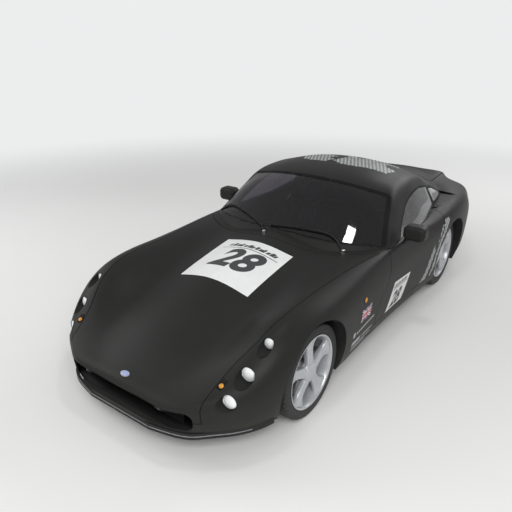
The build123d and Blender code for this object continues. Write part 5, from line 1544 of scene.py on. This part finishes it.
def cam_cover(sign):
    """A cover with a rounded top, drawn as one section along the engine."""
    mesh = bmesh.new()
    rings = []
    for y, shrink in ((COVER_FRONT, 0.88), (COVER_FRONT + 0.012, 1.0), (COVER_REAR - 0.012, 1.0),
                      (COVER_REAR, 0.88)):
        ring = [(sign * COVER_X + COVER_HALF * shrink * u, y, engine_top + COVER_HIGH * shrink * v)
                for u, v in ((-1.12, 0.0), (-1.12, 0.14), (-1.0, 0.16), (-0.9, 0.75), (-0.6, 1.0), (0.6, 1.0),
                             (0.9, 0.75), (1.0, 0.16), (1.12, 0.14), (1.12, 0.0))]
        rings.append(ring)
    skin_rings(mesh, rings, caps=True)
    for k in range(COVER_RIBS):
        rib_x = sign * COVER_X + COVER_HALF * (-0.5 + 0.25 * k)
        box_into(mesh, (rib_x - 0.003, COVER_FRONT + 0.04, engine_top + COVER_HIGH - 0.002),
                 (rib_x + 0.003, COVER_REAR - 0.04, engine_top + COVER_HIGH + 0.004))
    return mesh


for side, sign in SIDES.items():
    cover = new_piece(f"cam_cover_{side}", cam_cover(sign), coated_steel, "body")
    round_edges(cover, 0.002, 2)
    for k in range(COVER_BOLTS):
        y = COVER_FRONT + 0.03 + (COVER_REAR - COVER_FRONT - 0.06) * k / (COVER_BOLTS - 1)
        for across in (-1.06, 1.06):
            lathe_piece(f"cover_bolt_{side}_{k}_{'in' if across < 0 else 'out'}",
                        [(0.0075, 0.0), (0.0075, 0.002), (0.005, 0.0025), (0.005, 0.007), (0.0, 0.0075)],
                        (sign * COVER_X + COVER_HALF * across, y, engine_top + 0.0055), (0, 0.001, 1),
                        satin_steel, "body", 12)
plenum = bmesh.new()
tube_into(plenum, [(0, y, engine_top + 0.052) for y in (COVER_FRONT + 0.02, COVER_FRONT + 0.03,
                                                        COVER_REAR - 0.03, COVER_REAR - 0.02)], 0.034, 24)
for k in range(RUNNERS):
    y = COVER_FRONT + 0.06 + (COVER_REAR - COVER_FRONT - 0.12) * k / (RUNNERS - 1)
    way = 1 if k % 2 else -1
    bend = [(0, 0.05), (0.035, 0.048), (0.052, 0.028), (0.055, -0.002)]
    tube_into(plenum, arc_run([(way * x, y, engine_top + z) for x, z in bend], 5), 0.015, 16)
new_piece("intake_plenum", tidy_normals(plenum), cast_alloy, "body")
PULLEYS = [(0.0, engine_low.z + 0.10, 0.070), (0.10, engine_low.z + 0.25, 0.045),
           (-0.10, engine_low.z + 0.24, 0.040)]
for number, (x, z, radius) in enumerate(PULLEYS):
    lathe_piece(f"pulley_{number}", [(radius, -0.002), (radius, 0.004), (radius - 0.004, 0.008),
                                     (radius - 0.004, 0.018), (radius, 0.022), (radius, 0.026),
                                     (radius * 0.8, 0.026), (radius * 0.75, 0.014), (radius * 0.3, 0.014),
                                     (radius * 0.28, 0.028), (0.0, 0.029)],
                (x, engine_low.y, z), (0, -1, 0.0), satin_steel, "body", 48)

# %% Radiator fins
radiator_low, radiator_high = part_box("radiator")
FIN_PITCH, FIN_HALF = 0.009, 0.0006
fins = bmesh.new()
x = radiator_low.x + 0.03
while x < radiator_high.x - 0.03:
    box_into(fins, (x - FIN_HALF, radiator_low.y - 0.0045, radiator_low.z + 0.025),
             (x + FIN_HALF, radiator_low.y + 0.002, radiator_high.z - 0.025))
    x += FIN_PITCH
new_piece("radiator_fins", tidy_normals(fins), satin_steel, "body", smooth=False)
tanks = bmesh.new()
for z in (radiator_low.z + 0.011, radiator_high.z - 0.011):
    tube_into(tanks, [(x, radiator_low.y - 0.002, z) for x in (radiator_low.x + 0.004,
                                                               radiator_high.x - 0.004)], 0.012, 16)
new_piece("radiator_tanks", tidy_normals(tanks), coated_steel, "body")
print("engine bay dressed")

# %% [markdown]
# ## Studio
# The floor is a large pale sheet that keeps the car's shadow and fades into a plain pale surround.

# %% Floor and surround
floor_mesh = bpy.data.meshes.new("floor")
REACH = 40.0
floor_mesh.from_pydata([(-REACH, -REACH, 0), (REACH, -REACH, 0), (REACH, REACH, 0), (-REACH, REACH, 0)],
                       [], [(0, 1, 2, 3)])
floor = bpy.data.objects.new("floor", floor_mesh)
bpy.context.scene.collection.objects.link(floor)
floor_paint = mottled("studio_floor", (0.80, 0.80, 0.79), (0.78, 0.78, 0.77), 0.6, (0.7, 0.8),
                      Specular_IOR_Level=0.1)
PALE = (0.84, 0.845, 0.85, 1)
FADE_START, FADE_END = 3.5, 9.0


def pale_far_away(material):
    """Far from the car the floor fades into the plain pale surround."""
    tree = material.node_tree
    shader, output = tree.nodes["Principled BSDF"], tree.nodes["Material Output"]
    place = tree.nodes.new("ShaderNodeTexCoord").outputs["Object"]
    length = tree.nodes.new("ShaderNodeVectorMath")
    length.operation = "LENGTH"
    tree.links.new(place, length.inputs[0])
    fade = tree.nodes.new("ShaderNodeMapRange")
    fade.interpolation_type = "SMOOTHSTEP"
    fade.inputs["From Min"].default_value = FADE_START
    fade.inputs["From Max"].default_value = FADE_END
    tree.links.new(length.outputs["Value"], fade.inputs["Value"])
    path = tree.nodes.new("ShaderNodeLightPath")
    seen = math_node(tree, "MAXIMUM", path.outputs["Is Camera Ray"], math_node(
        tree, "MAXIMUM", path.outputs["Is Glossy Ray"], path.outputs["Is Transmission Ray"]))
    glow = tree.nodes.new("ShaderNodeEmission")
    glow.inputs["Color"].default_value = PALE
    mix = tree.nodes.new("ShaderNodeMixShader")
    tree.links.new(math_node(tree, "MULTIPLY", fade.outputs[0], seen), mix.inputs[0])
    tree.links.new(shader.outputs[0], mix.inputs[1])
    tree.links.new(glow.outputs[0], mix.inputs[2])
    tree.links.new(mix.outputs[0], output.inputs["Surface"])


pale_far_away(floor_paint)
floor_mesh.materials.append(floor_paint)
floor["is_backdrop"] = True

world = bpy.data.worlds.new("studio")
world.use_nodes = True
WORLD_LIGHT = 0.5
background = world.node_tree.nodes["Background"]
background.inputs["Color"].default_value = PALE
path = world.node_tree.nodes.new("ShaderNodeLightPath")
seen = math_node(world.node_tree, "MAXIMUM", path.outputs["Is Camera Ray"],
                 path.outputs["Is Transmission Ray"])
world.node_tree.links.new(math_node(world.node_tree, "MULTIPLY_ADD", seen, 1 - WORLD_LIGHT, WORLD_LIGHT),
                          background.inputs["Strength"])
bpy.context.scene.world = world

# %% [markdown]
# ## Sizes
# The dressed car's box is taken at the end, as the CAD's was at the start. The splitter's edge and
# the roof's chequer stand less than a millimetre outside the CAD's.

# %% Sizes and the end
low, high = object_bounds()
